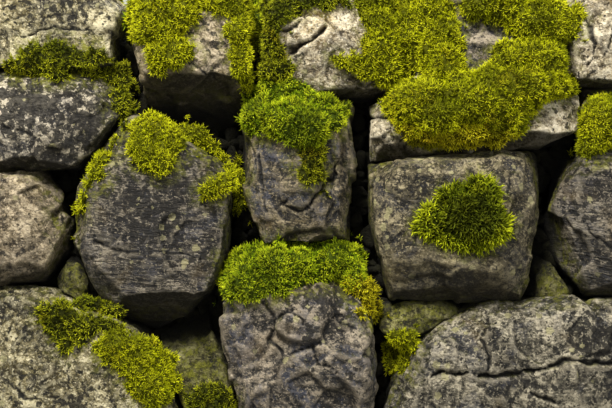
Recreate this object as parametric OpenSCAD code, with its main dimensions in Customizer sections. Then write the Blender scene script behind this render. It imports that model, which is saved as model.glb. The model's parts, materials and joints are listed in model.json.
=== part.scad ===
// Dry stone wall of rough boulders: two faces of stones laid without mortar, hearting between
// them, a head of tie stones at each end and a cope of stones across the top.
// X runs along the wall, the front faces -Y, Z is up, and the ground is at Z = 0.

/* [Layout] */
// Width of one unit of the layout grid, along the wall
grid_w = 20; // [16:0.5:26]
// Height of one unit of the layout grid
grid_h = 20; // [16:0.5:26]

/* [Section] */
// Thickness of the wall at the ground
base_t = 640; // [560:10:760]
// Thickness of the wall at the top of the cope
top_t = 440; // [380:10:540]
// Thickness of the hearting between the two faces
core_t = 140; // [90:10:180]

/* [Joints] */
// Open joint between two stones that stand side by side
side_joint = 8; // [2:1:16]
// How far a face stone draws in from its widest section to its face, in degrees
face_draw = 4; // [1:0.5:8]
// How far a face stone draws in from its widest section to its tail, in degrees
tail_draw = 3; // [1:0.5:8]
// How far a stone that runs through the wall draws in to each face, in degrees
tie_draw = 1; // [0.5:0.5:3]

/* [Stones] */
// Sharpness of the arrises of a face stone: low is a cobble, high is quarried
face_sharpness = 11; // [6:1:20]
// Sharpness of the arrises of the hearting
core_sharpness = 7; // [5:1:14]
// Unevenness of a stone's surface, as a share of its radius
unevenness = 0.025; // [0:0.005:0.04]

/* [Moss] */
// Thickness of the moss cushions on the stones
moss_t = 24; // [12:1:36]
// Roundness of the cushions' rims: low is a dome, high is a mat with a steep rim
moss_sharpness = 5; // [3:0.5:8]

/* [Hidden] */
// Steepest bed joint, in degrees: on anything flatter a stone sits, and anything steeper stays open
bed_limit = 40;
// A stone is drawn this much too full and then dressed flat where it meets its bed
seat = 1.08;
// Share of a stone's depth, from its face, at which it is widest
widest = 0.45;
// Longest side of an outline before it is divided, in grid units
side_step = 5;
// How far a cushion of moss reaches in behind the face, down to the stone under it
moss_root = 60;
// How far a cushion draws in from its root to its crown, in degrees
moss_draw = 9;
// How far the moss on top of the cope reaches across the wall
moss_depth = top_t - 60;

// Beds of the layout, each a line through two points of the grid
wall_end = 52.5;
foot_left = [[-wall_end, 22.2], [-26.8, 21.6]];
foot_right = [[17.6, 20.2], [wall_end, 20.6]];
mid_left = [[-wall_end, 33.1], [-23.6, 33.76]];
mid_right = [[40.25, 29.9], [wall_end, 30.2]];
cope_left = [[-wall_end, 43.4], [-19.4, 44.4]];
cope_mid = [[-5.4, 41.2], [6.2, 41.2]];
cope_right = [cope_mid[1], [wall_end, 43.4]];
slab_bed = [[6.4, 34.4], [24.6, 36]];
upright_bed = [[-8.2, 25.4], [5.4, 26]];
shoulder_left = [foot_left[1], [-15.6, 17]];
shoulder_mid = [shoulder_left[1], [-9.3, 20.4]];
shoulder_right = [[9.2, 15.2], foot_right[0]];
boulder_top = [[-16.4, 39.2], [-7.6, 33.6]];
slope_bed = [[27.2, 35.2], [38.4, 38.6]];
core_low = [foot_left[1], at(foot_right, 43)];
core_high = [at(mid_left, -36), mid_right[0]];
cope_top = 54;
// Place of the upright joint beside the footing of the right end
right_joint = 33.8;

wall_h = cope_top * grid_h;
batter = atan((base_t - top_t) / 2 / wall_h);

// Outlines of the stones on the face, clockwise as seen from the front
left_foot_cell = [[-wall_end, 0], foot_left[0], at(foot_left, -36.4), [-37.2, 0]];
left_mid_cell = [foot_left[0], mid_left[0], at(mid_left, -44.4), at(foot_left, -45)];
left_up_cell = [mid_left[0], cope_left[0], at(cope_left, -36.6), at(mid_left, -36)];
right_foot_cell = [at(foot_right, right_joint), foot_right[1], [wall_end, 0], [right_joint + 0.4, 0]];
right_mid_cell = [at(foot_right, 43), mid_right[0], mid_right[1], foot_right[1]];
right_up_cell = [mid_right[0], slope_bed[1], at(cope_right, 38), cope_right[1], mid_right[1]];

footing_left_cell = [[-37.2, 0], at(foot_left, -36.4), foot_left[1], shoulder_left[1], [-9.4, 0]];
footing_wedge_cell = [shoulder_mid[0], shoulder_mid[1], [-4.4, 0], [-9.4, 0]];
footing_middle_cell = [
    shoulder_mid[1], upright_bed[0], upright_bed[1], [6.9, 20.1], [7.4, 17], [6.2, 0], [-4.4, 0]
];
footing_right_cell = [
    [6.2, 0], shoulder_right[0], shoulder_right[1], at(foot_right, right_joint),
    [right_joint + 0.4, 0]
];

cobble_cell = [
    at(foot_left, -45), at(mid_left, -44.4), at(mid_left, -27), [-24.3, 28.6], [-24.2, 26.4],
    foot_left[1]
];
round_boulder_cell = [
    [-24.2, 26.4], [-24.3, 28.6], mid_left[1], [-18.2, 39.6], boulder_top[0], boulder_top[1],
    [-7, 30], upright_bed[0], shoulder_mid[1], shoulder_mid[0], at(shoulder_left, -20.2)
];
upright_cell = [
    [-6.7, 39.2], cope_mid[0], at(cope_mid, 5), [5.2, 35], at(upright_bed, 4.6),
    at(upright_bed, -4.4), [-6.5, 31]
];
square_boulder_cell = [
    slab_bed[0], slab_bed[1], [24.6, 29], at(foot_right, 22.2), at(foot_right, 8.4), [6.6, 28]
];
side_boulder_cell = [
    [24.8, 29], slope_bed[0], slope_bed[1], at(foot_right, 43), at(foot_right, 28.6), [24.8, 26.4]
];
corner_pin_cell = [foot_left[1], [-24.2, 26.4], at(shoulder_left, -20.2)];
bed_pin_cell = [[7.4, 17], at(foot_right, 6.9), shoulder_right[1], shoulder_right[0]];
gap_pin_cell = [at(foot_right, 22.4), [24.1, 25.6], [24.8, 25.6], at(foot_right, 28.4)];

upper_boulder_cell = [
    at(mid_left, -36), at(cope_left, -36.6), cope_left[1], [-18.2, 43], [-18.2, 39.6], mid_left[1]
];
long_slab_cell = [slab_bed[0], cope_right[0], at(cope_right, 28.6), [28.4, 38], slab_bed[1]];
sloping_cell = [
    at(slope_bed, 28.8), at(cope_right, 28.8), at(cope_right, 38), slope_bed[1]
];

cope_left_cell = [
    cope_left[0], [-wall_end, 51.6], [-49.6, 52.8], [-46, 52.6], [-44.4, 50.4],
    at(cope_left, -44.2)
];
cope_flat_cell = [
    at(cope_left, -44), [-44.2, 50], [-41, 53], [-22, 53.6], [-19.2, 51.4], at(cope_left, -19.6)
];
cope_wedge_cell = [
    [-18, 42.8], [-18.6, 46], [-17, 51.6], [-14, 53.4], [-7, 53.6], [-4.8, 50], cope_mid[0],
    at(boulder_top, -9.6), boulder_top[0]
];
cope_hollow_cell = [
    at(cope_mid, -4.6), [-4.4, 50], [-2.1, 53.2], [6.4, 53.8], [9.2, 51], at(cope_right, 9.4),
    cope_mid[1]
];
cope_mound_cell = [
    at(cope_right, 9.6), [9.5, 51], [12.4, 53.8], [24.8, cope_top], [26.6, 51],
    at(cope_right, 26.8)
];
cope_rugged_cell = [
    at(cope_right, 27), [26.9, 51], [29.4, 53.6], [38, 53.4], [43, 51.6], at(cope_right, 43.4)
];
cope_right_cell = [
    at(cope_right, 43.6), [43.2, 51.6], [45, 53], [wall_end, 53.2], cope_right[1]
];

// Faces of the front stones: how far the face stands out of the wall, its turn to the right and its
// tip up, in degrees, and the further facets it is dressed to
footing_left_face = [22, -2, 5, [[-24, 20.4, 0, 44], [-20, 19.4, 8, 40, 4], [-14, 13, 38, 14, 4]]];
footing_wedge_face = [-44, 8, 10, [[-10, 16.6, 0, 40]]];
footing_middle_face = [
    34, 0, -2,
    [[-4, 18, -8, -3], [2.6, 15, 12, -6, 2], [-2, 21.6, -3, 43, 1], [-7.3, 14.6, -51, 0, 4],
        [5.6, 16, 41, 4, 4], [4.6, 22, 28, 34], [1.4, 10.4, 6, -14, 8]]
];
footing_right_face = [
    14, 1, -5,
    [[14, 15.4, -14, 4], [28, 17, 4, 9], [24, 11.6, 2, -10, 6], [13, 17.5, -22, 38, 4],
        [10.6, 13, -47, 4, 6], [26, 18.4, 0, 44]]
];
cobble_face = [6, 7, 0, [[-27, 31, 28, 28], [-28, 24.6, 13, -38]]];
round_boulder_face = [
    26, 0, -3,
    [[-15, 21.4, 0, -53, 4], [-15.5, 35.8, -5, 31, 2], [-21, 30, -34, 5, 3], [-9.4, 29, 34, -4, 3],
        [-20.4, 35.4, -34, 24, 8], [-20.4, 24.4, -26, -22, 6]]
];
upright_face = [
    30, -18, -3,
    [[1.6, 33.4, 20, -6, 2], [2.4, 29.4, 26, -22, 4], [0, 38.3, 0, 45], [-5, 31, -53, 0, 3],
        [0, 27.9, 4, -46]]
];
square_boulder_face = [
    30, -2, -2,
    [[21.7, 28.5, 51, 2, 1], [14, 33.8, 0, 34], [20, 33.8, 15, 36, 1], [8.4, 31.8, -26, 20],
        [15, 22.5, 0, -58, 3], [13, 24.4, -4, -14, 2]]
];
side_boulder_face = [
    10, 8, 4, [[29.4, 33.8, -5, 43, 2], [27.6, 26.6, -28, -26, 1], [33, 22.5, 0, -50, 3]]
];
upper_boulder_face = [
    16, -1, -1,
    [[-26, 35.2, 1, -52, 2], [-26, 43.5, 0, 41], [-20.2, 40.7, 32, 0, 1], [-27, 36.6, -6, -10]]
];
long_slab_face = [12, 0, -1, [[17, 40.6, 0, 50], [22, 37.4, 1, -48, 2], [7.5, 38, -35, 0, 1]]];
sloping_face = [-26, 0, 24, []];
cope_flat_face = [0, 0, 5, []];
cope_wedge_face = [
    12, 3, 7,
    [[-11.4, 43.6, -3, -51, 1], [-16.8, 45.6, -20, 2, 2], [-8, 46.4, 16, 4, 2], [-11.2, 50.2, 1, 44]]
];
cope_hollow_face = [2, 2, -2, [[3.6, 47.4, 14, 8], [2, 51, 6, 46], [2.5, 42.2, 0, -43, 2]]];
cope_mound_face = [-6, 0, 8, [[12, 46, -14, 6], [18, 51.4, 0, 48]]];
cope_rugged_face = [4, -8, 3, [[34, 51.4, 0, 40], [31, 43.5, -12, -32, 1]]];

// Faces of the end stones and the cope's ends, with the facets that break their outer arrises
left_foot_face = [4, 0, 0, [[-52.5, 12, -60, 6, 110], [-52.5, 12, -118, 4, 400], [-51, 20, -92, 42, 300]]];
left_mid_face = [-6, 3, -2, [[-52.5, 28, -62, -6, 110], [-52.2, 25, -106, -14, 330]]];
left_up_face = [0, -3, 0, [[-52.5, 38, -56, 10, 120], [-52, 41, -102, 24, 260]]];
right_foot_face = [
    6, 0, 0, [[52.5, 10, 58, 8, 120], [52.5, 12, 114, 4, 400], [50.6, 19.6, 88, 42, 300]]
];
right_mid_face = [-4, 3, 0, [[52.5, 25, 62, -8, 110], [52.2, 27, 110, 10, 340]]];
right_up_face = [2, -3, 3, [[52.5, 37, 58, 6, 120], [52, 41, 100, 28, 240]]];
cope_left_face = [-2, 0, 0, [[-52, 47, -64, 16, 110]]];
cope_right_face = [0, 0, 2, [[52, 48, 60, 12, 110], [51.6, 50.4, 98, 36, 230]]];

// Faces of the back stones, one for each outline of the front
back_left_face = [55, 0, 0, []];
back_wedge_face = [-24, 0, 0, []];
back_footing_face = [34, 0, 0, []];
back_right_face = [12, 0, 0, []];
back_cobble_face = [4, 0, 0, []];
back_round_face = [26, 0, 0, []];
back_square_face = [22, 0, 0, []];
back_side_face = [8, 0, 0, []];
back_upper_face = [10, 0, 0, []];
back_upright_face = [24, 0, 0, []];
back_slab_face = [6, 0, 0, []];
back_pin_face = [-32, 0, 0, []];
back_sloping_face = [-10, 0, 0, []];

// Outlines of the moss cushions, each convex and clockwise as seen from the front
upright_moss = [
    [-6.3, 38.4], [-6, 41.4], [-4, 43], [-1.6, 43], [3.6, 40.8], [4, 38.8], [2.2, 36.8],
    [-3, 36.6], [-5.7, 37.2]
];
middle_moss = [
    [-8.6, 21.6], [-8.4, 24.4], [-6, 26], [3.4, 26.8], [5.6, 25.2], [6.8, 22.4], [5.6, 21.2],
    [-6, 20.4], [-8, 20.4]
];
middle_side_moss = [[3.6, 23.4], [6.6, 22.6], [7.6, 18.8], [6.6, 18], [5.2, 19.2], [4, 21.6]];
boulder_moss = [
    [-18, 36.6], [-17.6, 38.8], [-16, 39.2], [-9.6, 36.2], [-8.6, 34.8], [-15, 33.2],
    [-17.2, 34.4]
];
square_moss = [
    [11, 27.8], [12.4, 29.8], [16.8, 32.8], [18.6, 31.8], [20.4, 28.4], [19.2, 26.6],
    [17.2, 25.6], [14.4, 26]
];
side_moss = [
    [27.9, 35.8], [28.2, 38.4], [29.2, 40.6], [31.4, 41.4], [34, 40.6], [34, 37.6], [31, 35.4],
    [29.4, 34.8]
];
left_moss = [
    [-21.2, 15.6], [-18.6, 17.8], [-15.8, 17.2], [-14.3, 14.4], [-13.4, 11.4], [-14.6, 10],
    [-17.4, 11.8]
];
right_moss = [
    [8, 14], [8.4, 16.4], [9.6, 17.4], [11.2, 17.6], [11, 15], [10.4, 13], [8.8, 12.4]
];
slab_moss = [
    [8, 40.4], [9.6, 42.4], [18, 44.2], [27, 43.4], [28, 41], [22.6, 38.4], [17, 36.6],
    [13, 36.8], [9.6, 37.6]
];
wedge_crown_moss = [
    [-17.6, 47.2], [-17.2, 50.6], [-15, cope_top + 0.2], [-10.4, cope_top + 0.4],
    [-10.8, 49.6], [-12, 46.8], [-14.2, 45.4], [-16.4, 45.6]
];
wedge_side_moss = [
    [-8.4, 45], [-9.2, 50], [-8.6, cope_top + 0.4], [-6.4, cope_top + 0.2], [-5.2, 50.2],
    [-5.6, 45.2], [-6.1, 42.4], [-7.4, 42.8]
];
hollow_left_moss = [
    [-3.8, 50], [-2.2, cope_top], [4.4, cope_top + 0.6], [5, 51.2], [-2.4, 49.6]
];
hollow_right_moss = [
    [5.9, 45.4], [5.5, cope_top + 0.6], [7.6, cope_top + 0.4], [9, 51.2], [9.1, 42.2],
    [7.6, 42.2], [6.2, 43.4]
];
mound_left_moss = [
    [9.9, 42.6], [9.9, 50.6], [12.4, cope_top + 0.6], [16.4, cope_top + 0.8], [16, 45.6],
    [15.8, 42.4]
];
mound_top_moss = [
    [15.6, 50], [16, cope_top + 0.8], [24.4, cope_top + 0.8], [26.2, 51.2], [26.4, 47], [21, 47]
];
mound_right_moss = [[18.6, 44.6], [20.6, 47.6], [26.4, 47.6], [26.5, 42.6], [18.4, 42.4]];
flat_top_moss = [
    [-39.6, 51.4], [-38.2, cope_top - 0.1], [-23.4, cope_top + 0.5], [-21, 51.6], [-25, 50.4],
    [-36, 50.2]
];
wedge_top_moss = [
    [-16.4, 51.6], [-14.6, cope_top], [-6.9, cope_top + 0.4], [-5.5, 51.4]
];
hollow_top_moss = [
    [-3, 51.6], [-1.9, cope_top - 0.1], [6.5, cope_top + 0.6], [8.4, 51.6]
];
mound_crown_moss = [
    [10.4, 51.4], [12.6, cope_top + 0.6], [24.6, cope_top + 0.8], [26, 51.2]
];
rugged_top_moss = [
    [31.4, 51.4], [32, cope_top + 0.4], [38, cope_top + 0.2], [41.8, 52.4], [41.6, 51.2]
];
back_left_moss = [
    [-37.4, 42.6], [-30, 45.4], [-22, 45], [-18.6, 42.8], [-22, 41], [-30, 40.8]
];
back_middle_moss = [[-6, 34.6], [-2, 37.4], [4, 37.6], [7.6, 35], [4, 32.4], [0, 32.8]];
back_right_moss = [[24.4, 21.8], [28, 25.2], [36, 24.6], [37.8, 21.8], [32, 20], [26, 19.6]];

// Point of a bed line at a place along the wall
function at(line, x) = [
    x,
    line[0][1] + (line[1][1] - line[0][1]) * (x - line[0][0]) / (line[1][0] - line[0][0])
];

function unit(v) = v / norm(v);
function mean(points) = [for (i = [0, 1]) sum([for (p = points) p[i]]) / len(points)];
function sum(values, i = 0) = i < len(values) ? values[i] + sum(values, i + 1) : 0;
function in_mm(points) = [for (p = points) [p[0] * grid_w, p[1] * grid_h]];

// Front face of the wall at a height, which leans back with the batter
function face_y(z) = -(base_t - (base_t - top_t) * z / wall_h) / 2;

// Outline with its longer sides divided, so that a long stone gets as fine a surface as a short one
function divided(cell) = [
    for (i = [0 : len(cell) - 1])
        let (a = cell[i], b = cell[(i + 1) % len(cell)], n = ceil(norm(b - a) / side_step))
        for (k = [0 : n - 1]) a + (b - a) * k / n
];

// Plane of a dressed facet as [normal, distance from the stone's centre]. A facet is
// [x, z, turn, tip, depth]: it passes through that point of the face, or so many mm behind it,
// turned to the right and tipped up.
function facet_plane(centre, push, facet) =
    let (
        z = facet[1] * grid_h,
        tip = facet[3] + batter,
        normal = [sin(facet[2]) * cos(tip), -cos(facet[2]) * cos(tip), sin(tip)],
        depth = facet[4] == undef ? 0 : facet[4],
        point = [facet[0] * grid_w, face_y(z) - push + depth, z]
    )
    [normal, normal * (point - centre)];

// A side of the outline as [outward normal in the face, distance from the centre]: a bed lies on
// its line, and a side joint stands open
function side_line(a, b, centre) =
    let (
        along = unit(b - a),
        normal = [-along[1], along[0]],
        open = abs(along[1]) > sin(bed_limit) ? side_joint / 2 : 0
    )
    [normal, normal * (a - [centre[0], centre[2]]) - open];

// How far a direction reaches towards a side that draws in, from the widest section at a depth,
// by one angle to the face and by another to the tail
function drawn_side(side, depth, draws, dir) =
    let (out = side[0] * [dir[0], dir[2]])
    max(
        (out * cos(draws[0]) - dir[1] * sin(draws[0]))
            / (side[1] * cos(draws[0]) - depth * sin(draws[0])),
        (out * cos(draws[1]) + dir[1] * sin(draws[1]))
            / (side[1] * cos(draws[1]) + depth * sin(draws[1]))
    );

function positive_power(values, power) = sum([for (v = values) pow(max(v, 0), power)]);

// Slow swell over a stone's surface, between -1 and 1
function swell(dir, seed) =
    let (d = unit(dir))
    (sin(210 * d[0] + 150 * d[2] + 97 * seed) + sin(260 * d[2] - 190 * d[1] + 53 * seed)) / 2;

// Reach of a stone from its centre along a direction: the rounded form, cut by its flat seats
function reach(dir, sides, soft, hard, depth, draws, sharpness, seed) =
    let (
        side_terms = [for (s = sides) drawn_side(s, depth, draws, dir)],
        soft_terms = [for (p = soft) p[0] * dir / p[1]],
        hard_terms = concat(
            [for (s = sides) s[0] * [dir[0], dir[2]] / s[1]],
            [for (p = hard) p[0] * dir / p[1]]
        ),
        round = seat / pow(positive_power(concat(side_terms, soft_terms), sharpness), 1 / sharpness)
    )
    min(round * (1 + unevenness * swell(dir, seed)), 1 / max(hard_terms));

// Rings of a stone from face to tail, as [share of the outline, share of half the depth]
face_rings = [
    [0.3, -1], [0.62, -1], [0.87, -1], [1, -0.8], [1, -0.4], [1, 0.1], [1, 0.6], [0.75, 1]
];
plain_rings = [[0.5, -1], [0.87, -1], [1, -0.7], [1, -0.2], [1, 0.5], [0.7, 1]];
tie_rings = [
    [0.3, -1], [0.65, -1], [0.92, -1], [1, -0.8], [1, -0.4], [1, 0], [1, 0.4], [1, 0.8],
    [0.92, 1], [0.65, 1], [0.3, 1]
];
core_rings = [[0.8, -1], [1, -0.5], [1, 0.5], [0.8, 1]];
moss_rings = [[0.6, -1], [0.96, -0.96], [1, -0.5], [1, 0.2], [0.7, 1]];

// Surface through rings of points, closed by a point in front and one behind. With turned set the
// stone is laid the other way round, with its face to the back of the wall.
module skin(rings, front, tail, turned) {
    n = len(rings[0]);
    m = len(rings);
    points = concat([for (ring = rings, p = ring) p], [front, tail]);
    around = [for (j = [0 : n - 1]) [j, (j + 1) % n]];
    faces = concat(
        [for (j = around) [m * n, j[0], j[1]]],
        [for (k = [0 : m - 2], j = around) [k * n + j[0], (k + 1) * n + j[0], k * n + j[1]]],
        [for (k = [0 : m - 2], j = around) [k * n + j[1], (k + 1) * n + j[0], (k + 1) * n + j[1]]],
        [for (j = around) [m * n + 1, (m - 1) * n + j[1], (m - 1) * n + j[0]]]
    );
    polyhedron(
        points = turned ? [for (p = points) [p[0], -p[1], p[2]]] : points,
        faces = turned ? [for (f = faces) [f[2], f[1], f[0]]] : faces
    );
}

// One stone that fills its outline from y_front to y_tail
module stone(cell, y_front, y_tail, soft, hard, rings, draws, sharpness, seed, turned = false) {
    outline = in_mm(divided(cell));
    corners = in_mm(cell);
    middle = mean(corners);
    centre = [middle[0], (y_front + y_tail) / 2, middle[1]];
    half = (y_tail - y_front) / 2;
    sides = [
        for (i = [0 : len(corners) - 1])
            side_line(corners[i], corners[(i + 1) % len(corners)], centre)
    ];
    depth = (2 * widest - 1) * half;
    function about_centre(planes) = [
        for (p = planes)
            p[0] == undef ? facet_plane(centre, p[1], p[2]) : [p[0], p[1] - p[0] * centre]
    ];
    soft_planes = about_centre(soft);
    hard_planes = about_centre(hard);
    function skin_point(dir) =
        centre + dir * reach(dir, sides, soft_planes, hard_planes, depth, draws, sharpness, seed);
    skin(
        [
            for (r = rings) [
                for (p = outline)
                    skin_point([r[0] * (p[0] - centre[0]), r[1] * half, r[0] * (p[1] - centre[2])])
            ]
        ],
        skin_point([0, -half, 0]), skin_point([0, half, 0]), turned
    );
}

// Dressed facets of a stone's face, raised by a layer on it: its own face first, then the others
function dressed(cell, face, layer = 0) =
    let (m = mean(cell))
    [for (f = concat([[m[0], m[1], face[1], face[2]]], face[3])) [undef, face[0] + layer, f]];

// A stone of one face of the wall, with its tail on the hearting
module face_stone(cell, face, seed, sharpness = face_sharpness, rings = face_rings,
        turned = false) {
    z = mean(cell)[1] * grid_h;
    tail = [[0, 1, 0], -core_t / 2];
    stone(
        cell, face_y(z) - face[0], -core_t / 2, concat(dressed(cell, face), [tail]), [tail],
        rings, [face_draw, tail_draw], sharpness, seed, turned
    );
}

// A stone of the back face: the same outline with a plainer face
module back_stone(cell, face, seed) {
    face_stone(cell, face, seed, rings = plain_rings, turned = true);
}

// A stone that runs through the wall and shows a face on both sides
module tie_stone(cell, face, seed, sharpness = face_sharpness) {
    z = mean(cell)[1] * grid_h;
    y = face_y(z) - face[0];
    back = [[0, cos(batter), sin(batter)], -y * cos(batter) + z * sin(batter)];
    stone(
        cell, y, -y, concat(dressed(cell, face), [back]), [],
        tie_rings, [tie_draw, tie_draw], sharpness, seed
    );
}

// A cushion of moss over its outline, one layer thick over the dressed facets of the stone it
// grows on. It reaches back to its root, inside the stones that are then taken out of it. On a
// stone that runs through the wall, bulge is set to how far its face swells out when too full.
module cushion(cell, stone_cell, face, seed, bulge = 0, turned = false) {
    z = mean(cell)[1] * grid_h;
    layer = moss_t + bulge;
    y_front = face_y(z) - face[0] - layer;
    y_root = face_y(z) + moss_root;
    stone(
        cell, y_front, y_root, [[[0, -1, 0], -y_front], [[0, 1, 0], y_root]],
        dressed(stone_cell, face, layer),
        moss_rings, [moss_draw, moss_draw], moss_sharpness, seed, turned
    );
}

// A cushion that lies across the top of the cope
module top_cushion(cell, seed) {
    rims = [[[0, -1, 0], moss_depth / 2], [[0, 1, 0], moss_depth / 2]];
    stone(
        cell, -moss_depth / 2, moss_depth / 2, rims, rims,
        plain_rings, [tie_draw, tie_draw], moss_sharpness, seed
    );
}

// A row of hearting between two bed lines, parted at places along the wall
module hearting_row(low, high, places, seed) {
    for (i = [0 : len(places) - 2])
        hearting([
            at(low, places[i]), at(high, places[i]), at(high, places[i + 1]), at(low, places[i + 1])
        ], seed + i);
}

module hearting(cell, seed) {
    faces = [[[0, 1, 0], core_t / 2], [[0, -1, 0], core_t / 2]];
    stone(
        cell, -core_t / 2, core_t / 2, faces, faces,
        core_rings, [tail_draw, tail_draw], core_sharpness, seed
    );
}

ground = [[0, 0], [1, 0]];

module left_end_footing() { color("dimgray") tie_stone(left_foot_cell, left_foot_face, 1); }
module left_end_middle() { color("gray") tie_stone(left_mid_cell, left_mid_face, 2); }
module left_end_upper() { color("dimgray") tie_stone(left_up_cell, left_up_face, 3); }
module right_end_footing() { color("gray") tie_stone(right_foot_cell, right_foot_face, 4); }
module right_end_middle() { color("dimgray") tie_stone(right_mid_cell, right_mid_face, 5); }
module right_end_upper() { color("gray") tie_stone(right_up_cell, right_up_face, 6); }

module footing_left() {
    color("rosybrown") face_stone(footing_left_cell, footing_left_face, 11);
}
module footing_wedge() {
    color("darkkhaki") face_stone(footing_wedge_cell, footing_wedge_face, 12);
}
module footing_middle() {
    color("slategray") face_stone(footing_middle_cell, footing_middle_face, 13);
}
module footing_right() {
    color("gray") face_stone(footing_right_cell, footing_right_face, 14);
}

module cobble() { color("tan") face_stone(cobble_cell, cobble_face, 21, sharpness = 8); }
module round_boulder() {
    color("slategray") face_stone(round_boulder_cell, round_boulder_face, 22);
}
module upright_stone() {
    color("darkslategray") face_stone(upright_cell, upright_face, 23);
}
module square_boulder() {
    color("dimgray") face_stone(square_boulder_cell, square_boulder_face, 24);
}
module side_boulder() {
    color("slategray") face_stone(side_boulder_cell, side_boulder_face, 25);
}
module corner_pin() {
    color("olivedrab") face_stone(corner_pin_cell, [-46, 0, 12, []], 26, rings = plain_rings);
}
module bed_pin() {
    color("darkolivegreen") face_stone(bed_pin_cell, [-42, 0, 8, []], 27, rings = plain_rings);
}
module gap_pin() {
    color("darkkhaki") face_stone(gap_pin_cell, [-52, -6, 14, []], 28, rings = plain_rings);
}

module upper_boulder() {
    color("gray") face_stone(upper_boulder_cell, upper_boulder_face, 31);
}
module long_slab() { color("darkgray") face_stone(long_slab_cell, long_slab_face, 32); }
module sloping_stone() {
    color("yellowgreen") face_stone(sloping_cell, sloping_face, 33, rings = plain_rings);
}

module cope_left_end() { color("gray") tie_stone(cope_left_cell, cope_left_face, 41); }
module cope_flat() { color("rosybrown") tie_stone(cope_flat_cell, cope_flat_face, 42); }
module cope_wedge() { color("darkgray") tie_stone(cope_wedge_cell, cope_wedge_face, 43); }
module cope_hollow() { color("gainsboro") tie_stone(cope_hollow_cell, cope_hollow_face, 44); }
module cope_mound() { color("olivedrab") tie_stone(cope_mound_cell, cope_mound_face, 45); }
module cope_rugged() { color("gray") tie_stone(cope_rugged_cell, cope_rugged_face, 46); }
module cope_right_end() { color("dimgray") tie_stone(cope_right_cell, cope_right_face, 47); }

module back_footings() {
    color("dimgray") {
        back_stone(footing_left_cell, back_left_face, 51);
        back_stone(footing_wedge_cell, back_wedge_face, 52);
        back_stone(footing_middle_cell, back_footing_face, 53);
        back_stone(footing_right_cell, back_right_face, 54);
    }
}
module back_middle_course() {
    color("gray") {
        back_stone(cobble_cell, back_cobble_face, 61);
        back_stone(round_boulder_cell, back_round_face, 62);
        back_stone(square_boulder_cell, back_square_face, 63);
        back_stone(side_boulder_cell, back_side_face, 64);
    }
}
module back_upper_course() {
    color("dimgray") {
        back_stone(upper_boulder_cell, back_upper_face, 71);
        back_stone(upright_cell, back_upright_face, 72);
        back_stone(long_slab_cell, back_slab_face, 73);
    }
}
module back_pins() {
    color("darkkhaki") {
        back_stone(corner_pin_cell, back_pin_face, 81);
        back_stone(bed_pin_cell, back_pin_face, 82);
        back_stone(gap_pin_cell, back_pin_face, 83);
        back_stone(sloping_cell, back_sloping_face, 84);
    }
}

module hearting_lower() {
    color("darkgray") {
        hearting([[-36.9, 0], at(foot_left, -36.2), at(foot_left, -27), [-27, 0]], 91);
        hearting_row(ground, core_low, [-26.7, -14, -1, 11, 22, right_joint - 0.2], 92);
    }
}
module hearting_middle() {
    color("silver") {
        hearting([
            at(foot_left, -44.7), at(mid_left, -44.1), at(mid_left, -36.2), at(foot_left, -36.2)
        ], 101);
        hearting_row(foot_left, core_high, [-36, -27], 102);
        hearting_row(core_low, core_high, [-26.8, -19, -7, 5, 17, 28, 39], 103);
    }
}
module hearting_upper() {
    color("darkgray") {
        hearting([
            at(core_high, -35.8), at(cope_left, -36.2), at(cope_left, -28), at(core_high, -28)
        ], 111);
        hearting([
            at(core_high, -27.8), at(cope_left, -27.8), at(cope_left, -19.6), [-17, 39.4],
            at(core_high, -17)
        ], 112);
        hearting_row(core_high, boulder_top, [-16.2, -9.8], 113);
        hearting([
            at(core_high, -9.6), [-9.6, 34.6], at(cope_mid, -5.2), at(cope_mid, 5),
            at(core_high, 5)
        ], 114);
        hearting([
            at(core_high, 5.2), at(cope_mid, 5.2), cope_mid[1], at(cope_right, 16.4),
            at(core_high, 16.4)
        ], 115);
        hearting_row(core_high, cope_right, [16.6, 27.8], 116);
        hearting([
            at(core_high, 28), at(cope_right, 28), at(cope_right, 37.7), at(core_high, 38.9)
        ], 117);
    }
}

module face_moss() {
    color("yellowgreen") {
        difference() {
            cushion(upright_moss, upright_cell, upright_face, 121);
            upright_stone();
            cope_hollow();
            hearting_upper();
        }
        difference() {
            union() {
                cushion(middle_moss, footing_middle_cell, footing_middle_face, 122);
                cushion(middle_side_moss, footing_middle_cell, footing_middle_face, 123);
            }
            footing_middle();
            upright_stone();
            bed_pin();
        }
        difference() {
            cushion(boulder_moss, round_boulder_cell, round_boulder_face, 124);
            round_boulder();
            cope_wedge();
        }
        difference() {
            cushion(square_moss, square_boulder_cell, square_boulder_face, 125);
            square_boulder();
        }
        difference() {
            cushion(side_moss, sloping_cell, sloping_face, 126);
            side_boulder();
            sloping_stone();
        }
        difference() {
            cushion(left_moss, footing_left_cell, footing_left_face, 127);
            footing_left();
        }
        difference() {
            cushion(right_moss, footing_right_cell, footing_right_face, 128);
            footing_right();
            bed_pin();
        }
    }
}
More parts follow.
